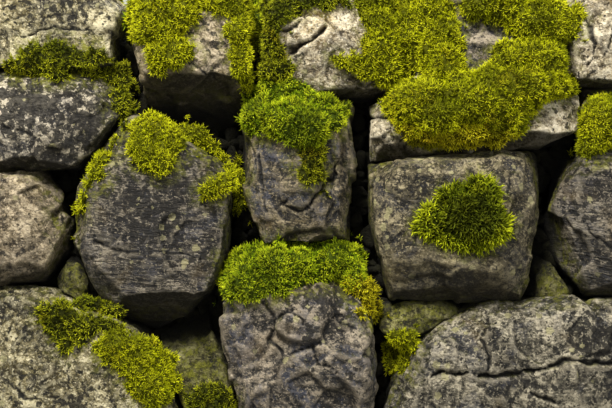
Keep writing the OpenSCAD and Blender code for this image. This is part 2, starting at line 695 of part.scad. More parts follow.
module cope_moss() {
    bulge = (seat - 1) * top_t / 2;
    color("yellowgreen") {
        difference() {
            union() {
                cushion(wedge_crown_moss, cope_wedge_cell, cope_wedge_face, 131, bulge);
                cushion(wedge_side_moss, cope_wedge_cell, cope_wedge_face, 132, bulge);
                top_cushion(wedge_top_moss, 133);
            }
            cope_wedge();
            round_boulder();
        }
        difference() {
            union() {
                cushion(hollow_left_moss, cope_hollow_cell, cope_hollow_face, 134, bulge);
                cushion(hollow_right_moss, cope_hollow_cell, cope_hollow_face, 135, bulge);
                top_cushion(hollow_top_moss, 136);
            }
            cope_hollow();
        }
        difference() {
            union() {
                cushion(mound_left_moss, cope_mound_cell, cope_mound_face, 137, bulge);
                cushion(mound_top_moss, cope_mound_cell, cope_mound_face, 138, bulge);
                cushion(mound_right_moss, cope_mound_cell, cope_mound_face, 139, bulge);
                cushion(slab_moss, long_slab_cell, long_slab_face, 140);
                top_cushion(mound_crown_moss, 141);
            }
            cope_mound();
            long_slab();
            hearting_upper();
        }
        difference() {
            top_cushion(flat_top_moss, 142);
            cope_flat();
        }
        difference() {
            top_cushion(rugged_top_moss, 143);
            cope_rugged();
        }
    }
}
module back_moss() {
    color("yellowgreen") {
        difference() {
            cushion(back_left_moss, upper_boulder_cell, back_upper_face, 151, turned = true);
            back_stone(upper_boulder_cell, back_upper_face, 71);
            cope_flat();
        }
        difference() {
            cushion(back_middle_moss, upright_cell, back_upright_face, 152, turned = true);
            back_stone(upright_cell, back_upright_face, 72);
        }
        difference() {
            cushion(back_right_moss, footing_right_cell, back_right_face, 153, turned = true);
            back_stone(footing_right_cell, back_right_face, 54);
            back_stone(side_boulder_cell, back_side_face, 64);
            back_stone(gap_pin_cell, back_pin_face, 83);
        }
    }
}

left_end_footing();
left_end_middle();
left_end_upper();
right_end_footing();
right_end_middle();
right_end_upper();
footing_left();
footing_wedge();
footing_middle();
footing_right();
cobble();
round_boulder();
upright_stone();
square_boulder();
side_boulder();
corner_pin();
bed_pin();
gap_pin();
upper_boulder();
long_slab();
sloping_stone();
cope_left_end();
cope_flat();
cope_wedge();
cope_hollow();
cope_mound();
cope_rugged();
cope_right_end();
back_footings();
back_middle_course();
back_upper_course();
back_pins();
hearting_lower();
hearting_middle();
hearting_upper();
face_moss();
cope_moss();
back_moss();
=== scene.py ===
"""Dry stone wall: weathered boulders, moss on their ledges, and the studio they stand in."""

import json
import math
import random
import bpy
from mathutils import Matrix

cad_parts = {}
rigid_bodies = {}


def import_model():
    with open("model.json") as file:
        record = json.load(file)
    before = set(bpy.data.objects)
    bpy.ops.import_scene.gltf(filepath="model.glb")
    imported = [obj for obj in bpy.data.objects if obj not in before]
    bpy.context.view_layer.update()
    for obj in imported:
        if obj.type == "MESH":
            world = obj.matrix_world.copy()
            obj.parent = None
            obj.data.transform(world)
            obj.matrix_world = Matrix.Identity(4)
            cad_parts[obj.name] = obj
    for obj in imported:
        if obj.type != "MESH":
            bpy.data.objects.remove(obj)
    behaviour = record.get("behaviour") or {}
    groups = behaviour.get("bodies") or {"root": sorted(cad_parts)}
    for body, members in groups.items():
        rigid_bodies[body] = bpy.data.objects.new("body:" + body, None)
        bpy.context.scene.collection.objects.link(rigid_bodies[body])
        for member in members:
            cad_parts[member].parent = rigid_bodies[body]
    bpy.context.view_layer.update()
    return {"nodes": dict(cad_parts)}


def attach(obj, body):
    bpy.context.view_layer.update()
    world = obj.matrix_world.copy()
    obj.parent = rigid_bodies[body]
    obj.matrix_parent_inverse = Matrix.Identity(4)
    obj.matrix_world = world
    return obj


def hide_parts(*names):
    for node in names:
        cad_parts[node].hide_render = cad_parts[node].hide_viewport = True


bl_info = {
    "name": "Dry Stone Wall",
    "version": (1, 0, 0),
    "blender": (4, 5, 0),
    "location": "3D View > Sidebar > Dry Stone Wall",
    "description": "Weathers the boulders of a dry stone wall, grows moss on them and lights them",
    "category": "Object",
}

from itertools import repeat

import bmesh
import bpy
import numpy as np
from mathutils import Matrix, Vector, noise
from mathutils.bvhtree import BVHTree

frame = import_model()
# Every run breaks the stones alike
noise.seed_set(4)

# Layout grid of the wall, its widths and its height, in metres, and the batter of its faces
GRID = 0.020
BASE_WIDTH, TOP_WIDTH, WALL_HEIGHT = 0.640, 0.440, 1.080
LEAN = (BASE_WIDTH - TOP_WIDTH) / 2 / WALL_HEIGHT


def face_y(z):
    """Depth of the front face of the wall at a height."""
    return -(BASE_WIDTH / 2 - LEAN * z)


def grid_points(text):
    """The (u, v) grid points of a line that is written as "u,v u,v"."""
    return np.array([p.split(",") for p in text.split()], float)


# Stones of the front face and the cope: the rock, how far the stone stands out in mm, its facets
# and its cracks. A facet is (u, v, turn, tip, depth): a plane through that grid point of the face,
# set back by depth in mm, turned to the right and tipped up in degrees. A crack is its line, as
# "u,v u,v", and its depth in mm.
STONES = {
    "footing_left": ("beige", 22, [
        (-24, 14, -4, 6, 0), (-20, 19.4, 8, 40, 4), (-13.6, 13, 42, 12, 10)], [
        ("-30,12.5 -27,11 -24.4,11.4", 4)]),
    "footing_wedge": ("sallow", -44, [
        (-11, 14, 4, 12, 0)], []),
    "footing_middle": ("dark", 34, [
        (-4, 18, -6, -3, 0), (2.6, 15, 10, -6, 2), (5.4, 16, 42, 0, 6), (-7.4, 15, -50, 0, 8),
        (-2, 21.6, -2, 42, 2), (1.4, 10.4, 6, -14, 8), (-4.6, 11.6, -16, -8, 6)], [
        ("-4.3,20.2 -2.8,19.1 -1.2,19.6 -0.3,18.2", 7), ("-3.2,18.8 -3.6,16.6 -2.2,15.4", 6),
        ("-1.4,15.6 0.6,16.2 1.2,14.8 3,13.6", 5), ("2.4,20.4 3.2,18.8 4.6,18", 5)]),
    "footing_right": ("mixed", 14, [
        (14, 15.4, -14, 4, 0), (21, 16.4, 2, 6, 2), (28, 17, 4, 10, 0), (12, 17.6, -26, 34, 8),
        (24, 11.6, 2, -10, 6), (15.4, 11, -8, -6, 2), (10.8, 13, -50, 0, 14)], [
        ("12.6,13.1 15.4,13.5 19.4,13 22.6,13.7 25.4,14.6 31,14.3", 13),
        ("17.4,16.6 18.4,15.2 18,13.4", 6), ("20.6,13.2 22,11.6 24.6,10.8", 7)]),
    "cobble": ("grey", 6, [
        (-28, 29, 8, 2, 0), (-26, 31.4, 26, 30, 2), (-27, 25.6, 12, -32, 2)], []),
    "round_boulder": ("banded", 26, [
        (-15, 28.6, 2, -4, 0), (-21, 30, -30, 4, 4), (-9.6, 30, 30, 0, 6), (-15.6, 35.6, -4, 30, 4),
        (-20.4, 35.4, -34, 24, 8), (-11, 34.6, 26, 26, 6), (-16, 23.6, 0, -18, 2),
        (-20.4, 24.4, -26, -22, 6), (-15, 21.6, 0, -56, 10)], [
        ("-21,26.2 -17.6,25.2 -14,25.6 -10.4,24.6", 4)]),
    "upright_stone": ("slate", 30, [
        (-3.4, 32, -20, -2, 0), (1.6, 33.4, 16, -6, 2), (2.4, 29.4, 26, -22, 4),
        (-5, 31, -56, 0, 6), (4.2, 35, 46, 0, 8), (-1.6, 29, -8, -26, 4), (0, 38.2, 0, 42, 0)], [
        ("4.1,35.2 3.2,33.8 2.4,32.7 1.4,31.6 0.6,30.3", 12), ("0.6,30.3 -0.8,29.6 -2.4,30.2", 6),
        ("-2,30.7 -2.9,30", 6), ("-4.9,35.3 -4.6,31.8 -3.8,29.4", 5)]),
    "square_boulder": ("blotched", 30, [
        (15, 28, -1, -2, 0), (9, 31, -16, 10, 0), (21.8, 29, 40, 8, 2), (14, 33.8, 0, 34, 0),
        (20, 33.6, 14, 30, 2), (13, 24.4, -4, -14, 2), (19, 24.2, 8, -18, 0), (8, 27, -38, 0, 6),
        (15, 22.6, 0, -62, 6)], [
        ("16.5,33.5 17.2,32.6 17.6,31.4", 4), ("20.6,33.4 20.2,31 20.6,29", 3)]),
    "side_boulder": ("banded", 10, [
        (31, 30, 10, 8, 0), (28, 25.6, -16, -24, 2), (26.6, 31, -42, 6, 6), (30, 34.2, 0, 40, 4),
        (33, 22.6, 0, -54, 6)], [
        ("26.9,29.3 28.8,27.2 30.6,25.8 33,25", 5)]),
    "upper_boulder": ("crusted", 16, [
        (-26, 40, -2, 4, 0), (-20.6, 40.4, 24, 0, 2), (-25, 43.6, -2, 38, 2),
        (-27, 36.6, -6, -10, 0), (-25, 35.2, 2, -58, 4), (-21.4, 37.6, 10, -30, 2)], [
        ("-30.6,38 -27.4,37 -24.4,38.4", 4)]),
    "long_slab": ("pale", 12, [
        (16, 39, -1, -3, 0), (7.6, 38, -30, 0, 2), (26.2, 39.6, 6, 24, 9), (20, 37.4, 0, -52, 4)], [
        ("6.2,39.3 8,39.1 10.6,39.6", 6)]),
    "sloping_stone": ("dark", -26, [], []),
    "cope_wedge": ("grey", 12, [
        (-11.6, 47, 2, 6, 0), (-16.8, 45.6, -20, 2, 2), (-8, 46.4, 16, 4, 2),
        (-11.4, 43.9, -2, -54, 2), (-16.6, 44, -8, -44, 4), (-10.4, 50.4, 2, 44, 0)], [
        ("-11.8,44.6 -10.2,43.7 -9.4,42.8", 4)]),
    "cope_hollow": ("pale", 2, [
        (3.6, 47.4, 14, 10, 0), (0.4, 44.8, -14, -14, 2), (5, 43.6, 8, -18, 2),
        (-3.6, 46, -36, 0, 4), (2, 42.2, 0, -46, 4)], [
        ("-2.8,45 -1,46.2 0.8,47 1.8,48.2", 11), ("-3,47.8 -1,48.2 0.2,49.6", 7)]),
    "cope_mound": ("dark", -6, [
        (18.4, 47, 2, 8, 0), (12, 46, -14, 6, 0)], []),
    "cope_rugged": ("pale", 4, [
        (29, 46.4, -18, 4, 0), (32, 44, -4, -18, 4), (36, 47, 6, 2, 2)], [
        ("28.4,50 29.6,46.8 29,44.4", 7), ("31.4,48 30.4,45", 5)]),
    "cope_flat": ("beige", 0, [
        (-24, 48, 2, 6, 0), (-34, 48, -4, 4, 0)], [
        ("-30,47 -26,48.6 -22.4,48", 6)]),
    "corner_pin": ("sallow", -46, [], []),
    "bed_pin": ("sallow", -42, [], []),
    "gap_pin": ("sallow", -52, [], []),
}
# Stones out of the close view, with the rock each is made of
OUTER_STONES = {
    "left_end_footing": ["grey"],
    "left_end_middle": ["dark"],
    "left_end_upper": ["crusted"],
    "right_end_footing": ["dark"],
    "right_end_middle": ["banded"],
    "right_end_upper": ["grey"],
    "cope_left_end": ["grey"],
    "cope_right_end": ["dark"],
    "back_footings": ["beige", "sallow", "dark", "mixed"],
    "back_middle_course": ["pale", "banded", "blotched", "banded"],
    "back_upper_course": ["crusted", "slate", "pale"],
    "back_pins": ["sallow", "sallow", "sallow", "sallow"],
}

# Mesh tools


def unit(v):
    return v / np.linalg.norm(v)


def coords(mesh, kind="co"):
    """The place of each point of a mesh, or with kind "normal" its direction."""
    values = np.empty(len(mesh.vertices) * 3)
    mesh.vertices.foreach_get(kind, values)
    return values.reshape(-1, 3)


def set_coords(mesh, co):
    mesh.vertices.foreach_set("co", co.ravel())
    mesh.update()


def store(mesh, name, values):
    layer = mesh.attributes.get(name) or mesh.attributes.new(name, "FLOAT", "POINT")
    layer.data.foreach_set("value", np.asarray(values, np.float32))


def shade_smooth(mesh):
    mesh.polygons.foreach_set("use_smooth", [True] * len(mesh.polygons))
    mesh.update()


def new_object(name, mesh):
    ob = bpy.data.objects.new(name, mesh)
    bpy.context.scene.collection.objects.link(ob)
    return ob


def mesh_of(bm, name):
    """A mesh with the shape of a bmesh, which is freed."""
    mesh = bpy.data.meshes.new(name)
    bm.to_mesh(mesh)
    bm.free()
    return mesh


def applied(ob):
    """The mesh of an object with its modifiers applied. The object and its own mesh go."""
    bpy.context.view_layer.update()
    graph = bpy.context.evaluated_depsgraph_get()
    result = bpy.data.meshes.new_from_object(ob.evaluated_get(graph))
    mesh = ob.data
    bpy.data.objects.remove(ob)
    bpy.data.meshes.remove(mesh)
    return result


def remeshed(mesh, voxel):
    ob = new_object("work", mesh)
    m = ob.modifiers.new("remesh", "REMESH")
    m.mode, m.voxel_size = "VOXEL", voxel
    return applied(ob)


def thinned(mesh, weights, kept, evenly):
    """The mesh with fewer faces: first where the weights are high, and then evenly."""
    ob = new_object("work", mesh)
    group = ob.vertex_groups.new(name="weight")
    for level in np.unique(weights):
        group.add(np.nonzero(weights == level)[0].tolist(), float(level), "REPLACE")
    first = ob.modifiers.new("weighted", "DECIMATE")
    first.vertex_group, first.vertex_group_factor = group.name, 1000.0
    first.ratio = float(kept.mean())
    ob.modifiers.new("even", "DECIMATE").ratio = evenly
    return applied(ob)


def solids_of(node):
    """One merged mesh for each separate solid of a CAD node, from left to right."""
    bm = bmesh.new()
    bm.from_mesh(frame["nodes"][node].data)
    bmesh.ops.remove_doubles(bm, verts=bm.verts, dist=1e-5)
    bm.verts.index_update()
    left = set(bm.verts)
    groups = []
    while left:
        group, reach = set(), {left.pop()}
        while reach:
            group |= reach
            reach = {e.other_vert(v) for v in reach for e in v.link_edges} & left
            left -= reach
        groups.append(group)
    groups.sort(key=lambda g: sum(v.co.x for v in g) / len(g))
    meshes = []
    for group in groups:
        part = bm.copy()
        keep = {v.index for v in group}
        bmesh.ops.delete(part, geom=[v for v in part.verts if v.index not in keep], context="VERTS")
        meshes.append(mesh_of(part, node))
    bm.free()
    return meshes


def joined(name, meshes):
    """Several meshes as one object, with their attributes and materials kept."""
    obs = [new_object(name, m) for m in meshes]
    if len(obs) > 1:
        with bpy.context.temp_override(
            active_object=obs[0], object=obs[0], selected_editable_objects=obs
        ):
            bpy.ops.object.join()
    return obs[0]


def spread_mean(mesh, values, rounds):
    """Values averaged over neighbouring points."""
    n = len(mesh.vertices)
    e = np.empty(len(mesh.edges) * 2, np.int32)
    mesh.edges.foreach_get("vertices", e)
    a, b = e[::2], e[1::2]
    count = (np.bincount(a, minlength=n) + np.bincount(b, minlength=n) + 1.0)[:, None]
    v = values.reshape(n, -1)
    for _ in range(rounds):
        total = [c + np.bincount(a, c[b], n) + np.bincount(b, c[a], n) for c in v.T]
        v = np.stack(total, 1) / count
    return v.reshape(values.shape)


def bulge_of(mesh, normals):
    """How far in mm each point stands out of the mean of those around it."""
    co = coords(mesh)
    return np.einsum("ij,ij->i", co - spread_mean(mesh, co, 4), normals) * 1000


# Weathering of the stones


def plane_of(facet, push):
    """The normal of a facet and a point on it, in metres."""
    u, v, turn, tip, depth = facet
    turn, tip = math.radians(turn), math.radians(tip) + math.atan(LEAN)
    n = np.array(
        [math.sin(turn) * math.cos(tip), -math.cos(turn) * math.cos(tip), math.sin(tip)]
    )
    z = v * GRID
    return n, np.array([u * GRID, face_y(z) - (push - depth) / 1000, z])


def trim(co, n, at, lowest):
    """Moves what lies beyond a plane back onto it, but nothing that touches the ground."""
    beyond = np.maximum(0, (co - at) @ n)
    beyond[co[:, 2] < lowest] = 0
    return co - beyond[:, None] * n


def chipped(co, seed, lowest, to_front, count=26, deepest=0.014):
    """Breaks the outermost points off in flat facets all round a stone, or on its front only."""
    rng = random.Random(seed)
    for _ in range(count):
        n = unit(np.array([rng.gauss(0, 1) for _ in range(3)]))
        if to_front and n[1] > 0.35:
            n[1] = -n[1]
        if n[2] < -0.5:
            continue
        cut = rng.uniform(0.25, 1) * deepest
        co = trim(co, n, n * ((co @ n).max() - cut), lowest)
    return co


def crack_field(co, cracks, seed, reach=0.04):
    """How deep each point sinks into the cracks of the face, in metres, and where they run."""
    sink, mark = np.zeros(len(co)), np.zeros(len(co))
    for line, depth in cracks:
        line = grid_points(line) * GRID
        flat = co[:, [0, 2]]
        by = (flat > line.min(0) - reach) & (flat < line.max(0) + reach)
        near = np.nonzero(by.all(1) & (co[:, 1] < -0.12))[0]
        if not len(near):
            continue
        flat = flat[near]
        wobble = np.array([
            noise.noise_vector(Vector((x * 32 + seed, 0, z * 32))) * 0.008
            + noise.noise_vector(Vector((x * 110 + seed, 3, z * 110))) * 0.003
            for x, z in flat
        ])[:, [0, 2]]
        width = [0.55 + 0.9 * noise.noise(Vector((x * 26, seed, z * 26))) for x, z in flat]
        width = np.clip(width, 0.1, 1.3) * (0.0026 + depth * 0.00017)
        best, side = np.full(len(near), 9.0), np.zeros(len(near))
        for a, b in zip(line[:-1], line[1:]):
            ab, from_a = b - a, flat + wobble - a
            t = np.clip((from_a @ ab) / (ab @ ab), 0, 1)
            off = from_a - t[:, None] * ab
            far = np.linalg.norm(off, axis=1)
            closer = far < best
            best = np.where(closer, far, best)
            side = np.where(closer, np.sign(ab[0] * off[:, 1] - ab[1] * off[:, 0]), side)
        share = np.clip(1.6 - best / width, 0, 1)
        step = np.clip(side, 0, 1) * np.exp(-best / 0.02) * depth * 0.22
        sink[near] = np.maximum(sink[near], (share * depth + step) / 1000)
        mark[near] = np.maximum(mark[near], np.clip(1.5 - best / width, 0, 1))
    return sink, mark


# Relief of each rock in mm: slow swell, lumps, big facets, small facets, roughness, and the
# strength and height of its layers
RELIEF = {
    "beige": (4, 1.4, 9, 4, 1.7, 0, 1),
    "sallow": (4, 1.6, 10, 5, 1.5, 0, 1),
    "dark": (4, 1.0, 21, 10, 0.9, 0.6, 17),
    "mixed": (4, 1.3, 17, 8, 1.1, 0.8, 21),
    "pale": (3, 1.2, 10, 5, 1.1, 0.4, 18),
    "banded": (3, 0.8, 10, 4, 0.6, 0.9, 11),
    "slate": (3, 0.9, 16, 7, 0.8, 0.7, 11),
    "blotched": (3, 1.1, 9, 4, 0.9, 0.2, 22),
    "crusted": (4, 1.3, 11, 5, 1.0, 0.5, 20),
    "grey": (4, 1.3, 11, 6, 1.1, 0.4, 20),
}
# Sizes in metres of the cells that break into big, small and fine facets
BIG_CELL, SMALL_CELL, FINE_CELL = 0.125, 0.066, 0.023


def hashed(cell, k, seed):
    """A number from 0 to 1 for each cell of a grid."""
    n = cell @ np.array([12.9898, 78.233, 37.719]) + k * 17.17 + seed * 3.31
    return (np.sin(n) * 43758.5453) % 1.0


def facets_of(co, size, seed, crisp):
    """Broken facets: the tilted planes of a jittered grid of cells, blended where they meet."""
    turn = np.array(Matrix.Rotation(seed * 1.3, 3, Vector((1, 2, 3)).normalized()))
    q = co @ turn.T / size
    base = np.floor(q)
    total, share = np.zeros(len(co)), np.full(len(co), 1e-12)
    for step in np.ndindex(3, 3, 3):
        cell = base + np.array(step) - 1
        r = [hashed(cell, n, seed) for n in range(7)]
        d = q - cell - np.stack(r[:3], 1)
        weight = np.exp(-crisp * (d * d).sum(1))
        slope = np.stack(r[3:6], 1) * 2 - 1
        total += weight * ((d * slope).sum(1) + (r[6] - 0.5) * 0.55)
        share += weight
    return total / share


def roughened(co, rock, seed, crisp):
    """How far the rough skin of a rock stands in or out at each point, in metres."""
    swell, lumps, big, small, rough, layers, layer_h = RELIEF[rock]
    warp = np.array([noise.noise_vector(Vector(p) * 14) for p in co]) * 0.012
    offset = big * facets_of(co + warp, BIG_CELL, seed, crisp)
    offset += small * facets_of(co + warp * 0.6, SMALL_CELL, seed + 5, crisp)
    offset += 0.16 * small * facets_of(co, FINE_CELL, seed + 9, crisp)
    flat = np.empty(len(co))
    for i, (x, y, z) in enumerate(co):
        p = Vector((x + seed * 1.7, y, z))
        h = swell * noise.noise(p * 7) + lumps * noise.noise(p * 25)
        h += rough * (noise.noise(p * 70) + 0.7 * noise.noise(p * 150))
        if layers:
            bend = z * 1000 + 9 * noise.noise(p * 5) + 3 * noise.noise(p * 22) + 24 * x
            t = (bend / layer_h) % 1.0
            step = min(t / 0.75, (1 - t) / 0.25)
            h += layers * (step - 0.5) * (0.7 + 1.4 * noise.noise(p * 11))
        flat[i] = h
    return (offset + flat) / 1000


def edge_depth(co):
    """How far each point lies inside the wall's faces, ends and top, in metres."""
    return np.minimum.reduce([
        co[:, 1] - face_y(co[:, 2]), -face_y(co[:, 2]) - co[:, 1],
        1.04 - np.abs(co[:, 0]), 1.03 - co[:, 2],
    ])


def mark_skin(mesh, grain=1.0):
    """Stores what the materials read: worn edges, hollows for dirt and painted shade, and depth and
    undersides for painted shade.
    """
    normals = coords(mesh, "normal")
    bulge = bulge_of(mesh, normals)
    store(mesh, "ridge", np.clip(bulge / 1.1 / grain, 0, 1))
    store(mesh, "hollow", np.clip(-bulge / 1.3 / grain, 0, 1))
    store(mesh, "depth", np.clip(edge_depth(coords(mesh)) / 0.12, 0, 1))
    under = np.clip((-spread_mean(mesh, normals, 3)[:, 2] - 0.3) / 0.35, 0, 1)
    store(mesh, "under", under)
    shade_smooth(mesh)


# The part of the front in the close view: half its width, its foot, its top and its depth
VIEW_HALF, VIEW_FOOT, VIEW_TOP, VIEW_DEPTH = 0.67, 0.16, 1.05, 0.11
# How stones are worked in the close view and elsewhere: how crisp their facets are, how deep in
# nobody sees them, the share of the faces kept by the even thinning, and the grain of their skin
FINE = dict(crisp=58.0, unseen=0.09, evenly=0.74, grain=1.0)
COARSE = dict(crisp=30.0, unseen=0.11, evenly=0.6, grain=4.0)


def weathered(mesh, rock, seed, voxel, fine=False, push=0, facets=(), cracks=(), to_front=False):
    """One stone: its CAD solid with broken facets, cracks and a rough skin."""
    work = FINE if fine else COARSE
    on_floor = min(v.co.z for v in mesh.vertices) < 0.001
    lowest = 0.006 if on_floor else -1
    mesh = remeshed(mesh, voxel)
    co = coords(mesh)
    for facet in facets:
        co = trim(co, *plane_of(facet, push), lowest)
    co = chipped(co, seed, lowest, to_front)
    set_coords(mesh, co)
    normals = coords(mesh, "normal")
    offset = roughened(co, rock, seed, work["crisp"])
    offset *= bpy.context.scene.dry_stone_wall.relief
    sink, mark = crack_field(co, cracks, seed)
    offset -= sink
    if on_floor:
        offset *= np.clip((co[:, 2] - 0.002) / 0.02, 0, 1)
    co = co + normals * offset[:, None]
    co[:, 2] = np.maximum(co[:, 2], 0)
    set_coords(mesh, co)
    store(mesh, "crack", mark)
    hidden = edge_depth(co) > work["unseen"]
    away = np.zeros(len(co), bool)
    if fine:
        away = (np.abs(co[:, 0]) > VIEW_HALF) | (co[:, 2] > VIEW_TOP) | (co[:, 2] < VIEW_FOOT)
        away |= co[:, 1] - face_y(co[:, 2]) > VIEW_DEPTH
    weights = np.where(hidden, 1.0, np.where(away, 0.98, 0.0))
    kept = np.where(hidden, 0.05, np.where(away, 0.18, 1.0))
    mesh = thinned(mesh, weights, kept, work["evenly"])
    co = coords(mesh)
    co[:, 2] = np.maximum(co[:, 2], 0)
    set_coords(mesh, co)
    mark_skin(mesh, work["grain"])
    return mesh


# Materials

FLOAT, VECTOR = "NodeSocketFloat", "NodeSocketVector"


class Graph:
    """Short way to lay out the nodes of a material or a node group."""

    def __init__(self, tree):
        self.tree = tree

    def add(self, kind, inputs=None, **settings):
        n = self.tree.nodes.new(kind)
        for key, value in settings.items():
            setattr(n, key, value)
        for key, value in (inputs or {}).items():
            if isinstance(value, bpy.types.NodeSocket):
                self.tree.links.new(value, n.inputs[key])
            else:
                n.inputs[key].default_value = value
        return n

    def use(self, group, **inputs):
        return self.add("ShaderNodeGroup", inputs, node_tree=bpy.data.node_groups[group]).outputs[0]

    def math(self, op, a, b):
        return self.add("ShaderNodeMath", {0: a, 1: b}, operation=op).outputs[0]

    def plus(self, a, b):
        return self.math("ADD", a, b)

    def minus(self, a, b):
        return self.math("SUBTRACT", a, b)

    def times(self, a, b):
        return self.math("MULTIPLY", a, b)

    def larger(self, a, b):
        return self.math("MAXIMUM", a, b)

    def sum(self, first, *terms):
        """The first value, and each (value, share) of the terms added to it in turn."""
        for value, share in terms:
            first = self.plus(first, self.times(value, share))
        return first

    def vector(self, op, inputs):
        return self.add("ShaderNodeVectorMath", inputs, operation=op).outputs[0]

    def parts(self, vector):
        return self.add("ShaderNodeSeparateXYZ", {"Vector": vector}).outputs

    def join(self, x, y, z):
        return self.add("ShaderNodeCombineXYZ", {"X": x, "Y": y, "Z": z}).outputs[0]

    def mix(self, factor, a, b):
        n = self.add("ShaderNodeMix", {"Factor": factor, 6: a, 7: b}, data_type="RGBA")
        return n.outputs[2]

    def range(self, value, low, high, to_low=0.0, to_high=1.0):
        n = self.add("ShaderNodeMapRange", {
            "Value": value, "From Min": low, "From Max": high, "To Min": to_low, "To Max": to_high,
        }, interpolation_type="SMOOTHSTEP")
        return n.outputs[0]

    def noise(self, vector, scale, detail=4.0, rough=0.55, distort=0.0):
        look = {"Scale": scale, "Detail": detail, "Roughness": rough, "Distortion": distort}
        return self.add("ShaderNodeTexNoise", {"Vector": vector, **look}).outputs[0]

    def cells(self, vector, scale):
        return self.add("ShaderNodeTexVoronoi", {"Vector": vector, "Scale": scale}).outputs

    def marked(self, name):
        return self.add("ShaderNodeAttribute", attribute_name=name).outputs["Fac"]

    def ramp(self, value, stops):
        n = self.add("ShaderNodeValToRGB", {"Fac": value})
        marks = n.color_ramp.elements
        while len(marks) < len(stops):
            marks.new(0.5)
        for mark, (place, colour) in zip(marks, stops):
            mark.position = place
            mark.color = colour
        return n.outputs[0]

    def shader(self, height, strength, distance, specular, **look):
        """The surface of the material, with its relief."""
        look["Normal"] = self.add("ShaderNodeBump", {
            "Height": height, "Strength": strength, "Distance": distance}).outputs[0]
        look["Specular IOR Level"] = specular
        shader = self.add("ShaderNodeBsdfPrincipled", look)
        self.add("ShaderNodeOutputMaterial", {"Surface": shader.outputs[0]})


def rgb(r, g, b):
    """A colour as it looks, in 0 to 255, turned into the renderer's own values."""
    def line(c):
        c /= 255
        return c / 12.92 if c <= 0.04045 else ((c + 0.055) / 1.055) ** 2.4
    return (line(r), line(g), line(b), 1.0)


def darker(colour, share):
    return tuple(c * share for c in colour[:3]) + (1.0,)


def material_of(name):
    """The graph of a new empty material, and the Object coordinates there."""
    mat = bpy.data.materials.new(name)
    mat.use_nodes = True
    mat.node_tree.nodes.clear()
    g = Graph(mat.node_tree)
    return g, g.add("ShaderNodeTexCoord").outputs["Object"]


def group_of(name, output, **inputs):
    """The graph, inputs and output of a new effect. It reads a Vector and the numbers given."""
    tree = bpy.data.node_groups.new(name, "ShaderNodeTree")
    tree.interface.new_socket("Vector", in_out="INPUT", socket_type=VECTOR)
    for label, default in inputs.items():
        s = tree.interface.new_socket(label, in_out="INPUT", socket_type=FLOAT)
        s.default_value = default
    tree.interface.new_socket(output, in_out="OUTPUT", socket_type=FLOAT)
    g = Graph(tree)
    return g, g.add("NodeGroupInput").outputs, g.add("NodeGroupOutput").inputs[output]


def mottle_group():
    """Grains, clouds and broad drifts of dark and light, drawn out along the layers."""
    g, i, out = group_of("Rock Mottle", "Tone", Scale=110.0, Stretch=1.0)
    x, y, z = g.parts(i["Vector"])
    flat = g.join(x, y, g.times(g.plus(z, g.times(x, 0.12)), i["Stretch"]))
    grain = g.noise(flat, g.times(i["Scale"], 1.8), 4.0, 0.65)
    cloud = g.noise(flat, g.math("DIVIDE", i["Scale"], 4.6), 8.0, 0.78)
    broad = g.noise(i["Vector"], 6.5, 2.0, 0.5, 0.5)
    tone = g.sum(g.times(g.minus(grain, 0.5), 0.7),
                 (g.minus(cloud, 0.5), 2.0), (g.minus(broad, 0.5), 0.55))
    g.tree.links.new(g.plus(tone, 0.5), out)


def speckle_group():
    """Small dark crust spots that gather in patches."""
    g, i, out = group_of("Crust Speckle", "Mask", Scale=120.0, Cover=0.5)
    spots = g.noise(i["Vector"], i["Scale"], 3.0, 0.6)
    patches = g.noise(i["Vector"], g.math("DIVIDE", i["Scale"], 9.0), 2.0, 0.5)
    level = g.minus(g.sum(spots, (patches, 0.75)), g.minus(1.16, g.times(i["Cover"], 0.36)))
    g.tree.links.new(g.range(level, -0.02, 0.04), out)


def lichen_group():
    """Round pale spots of mixed sizes, in scattered families."""
    g, i, out = group_of("Lichen Spots", "Mask", Scale=55.0, Cover=0.3)
    wavy = g.add("ShaderNodeTexNoise", {"Vector": i["Vector"], "Scale": 240.0, "Detail": 3.0})
    shift = g.vector("SUBTRACT", {0: wavy.outputs[1], 1: (0.5, 0.5, 0.5)})
    shift = g.vector("SCALE", {0: shift, "Scale": 0.010})
    cells = g.cells(g.vector("ADD", {0: i["Vector"], 1: shift}), i["Scale"])
    pick = g.add("ShaderNodeSeparateColor", {"Color": cells["Color"]}).outputs
    family = g.minus(g.noise(i["Vector"], 7.0, 1.0, 0.5), 0.5)
    chosen = g.math("GREATER_THAN", g.sum(pick[0], (family, 1.9)), g.minus(1.0, i["Cover"]))
    size = g.plus(g.times(g.math("POWER", pick[1], 2.0), 0.34), 0.10)
    spot = g.range(g.minus(size, cells["Distance"]), -0.02, 0.05)
    g.tree.links.new(g.times(spot, chosen), out)


def layers_group():
    """Thin wavering beds in the rock."""
    g, i, out = group_of("Rock Layers", "Mask", Across=6.0, Along=150.0)
    x, y, z = g.parts(i["Vector"])
    z = g.sum(z, (g.noise(i["Vector"], 8.0, 3.0, 0.55), 0.055), (x, 0.08))
    flat = g.join(g.times(x, i["Across"]), g.times(y, i["Across"]), g.times(z, i["Along"]))
    g.tree.links.new(g.noise(flat, 1.0, 4.0, 0.65), out)


def skin_group():
    """Height of the fine skin: pits, grains and shallow flakes."""
    g, i, out = group_of("Stone Skin", "Height", Tone=0.5, Grit=1.0, Layers=0.0)
    at = i["Vector"]
    gritty = g.sum(g.times(g.noise(at, 170.0, 4.0, 0.7), 1.9),
                   (g.range(g.cells(at, 130.0)[0], 0.05, 0.45), 0.5),
                   (g.range(i["Tone"], 0.25, 0.6), 1.1))
    h = g.sum(g.times(gritty, i["Grit"]),
              (g.noise(at, 34.0, 7.0, 0.7), 1.5), (g.cells(at, 46.0)[0], 0.5))
    g.tree.links.new(g.plus(h, i["Layers"]), out)
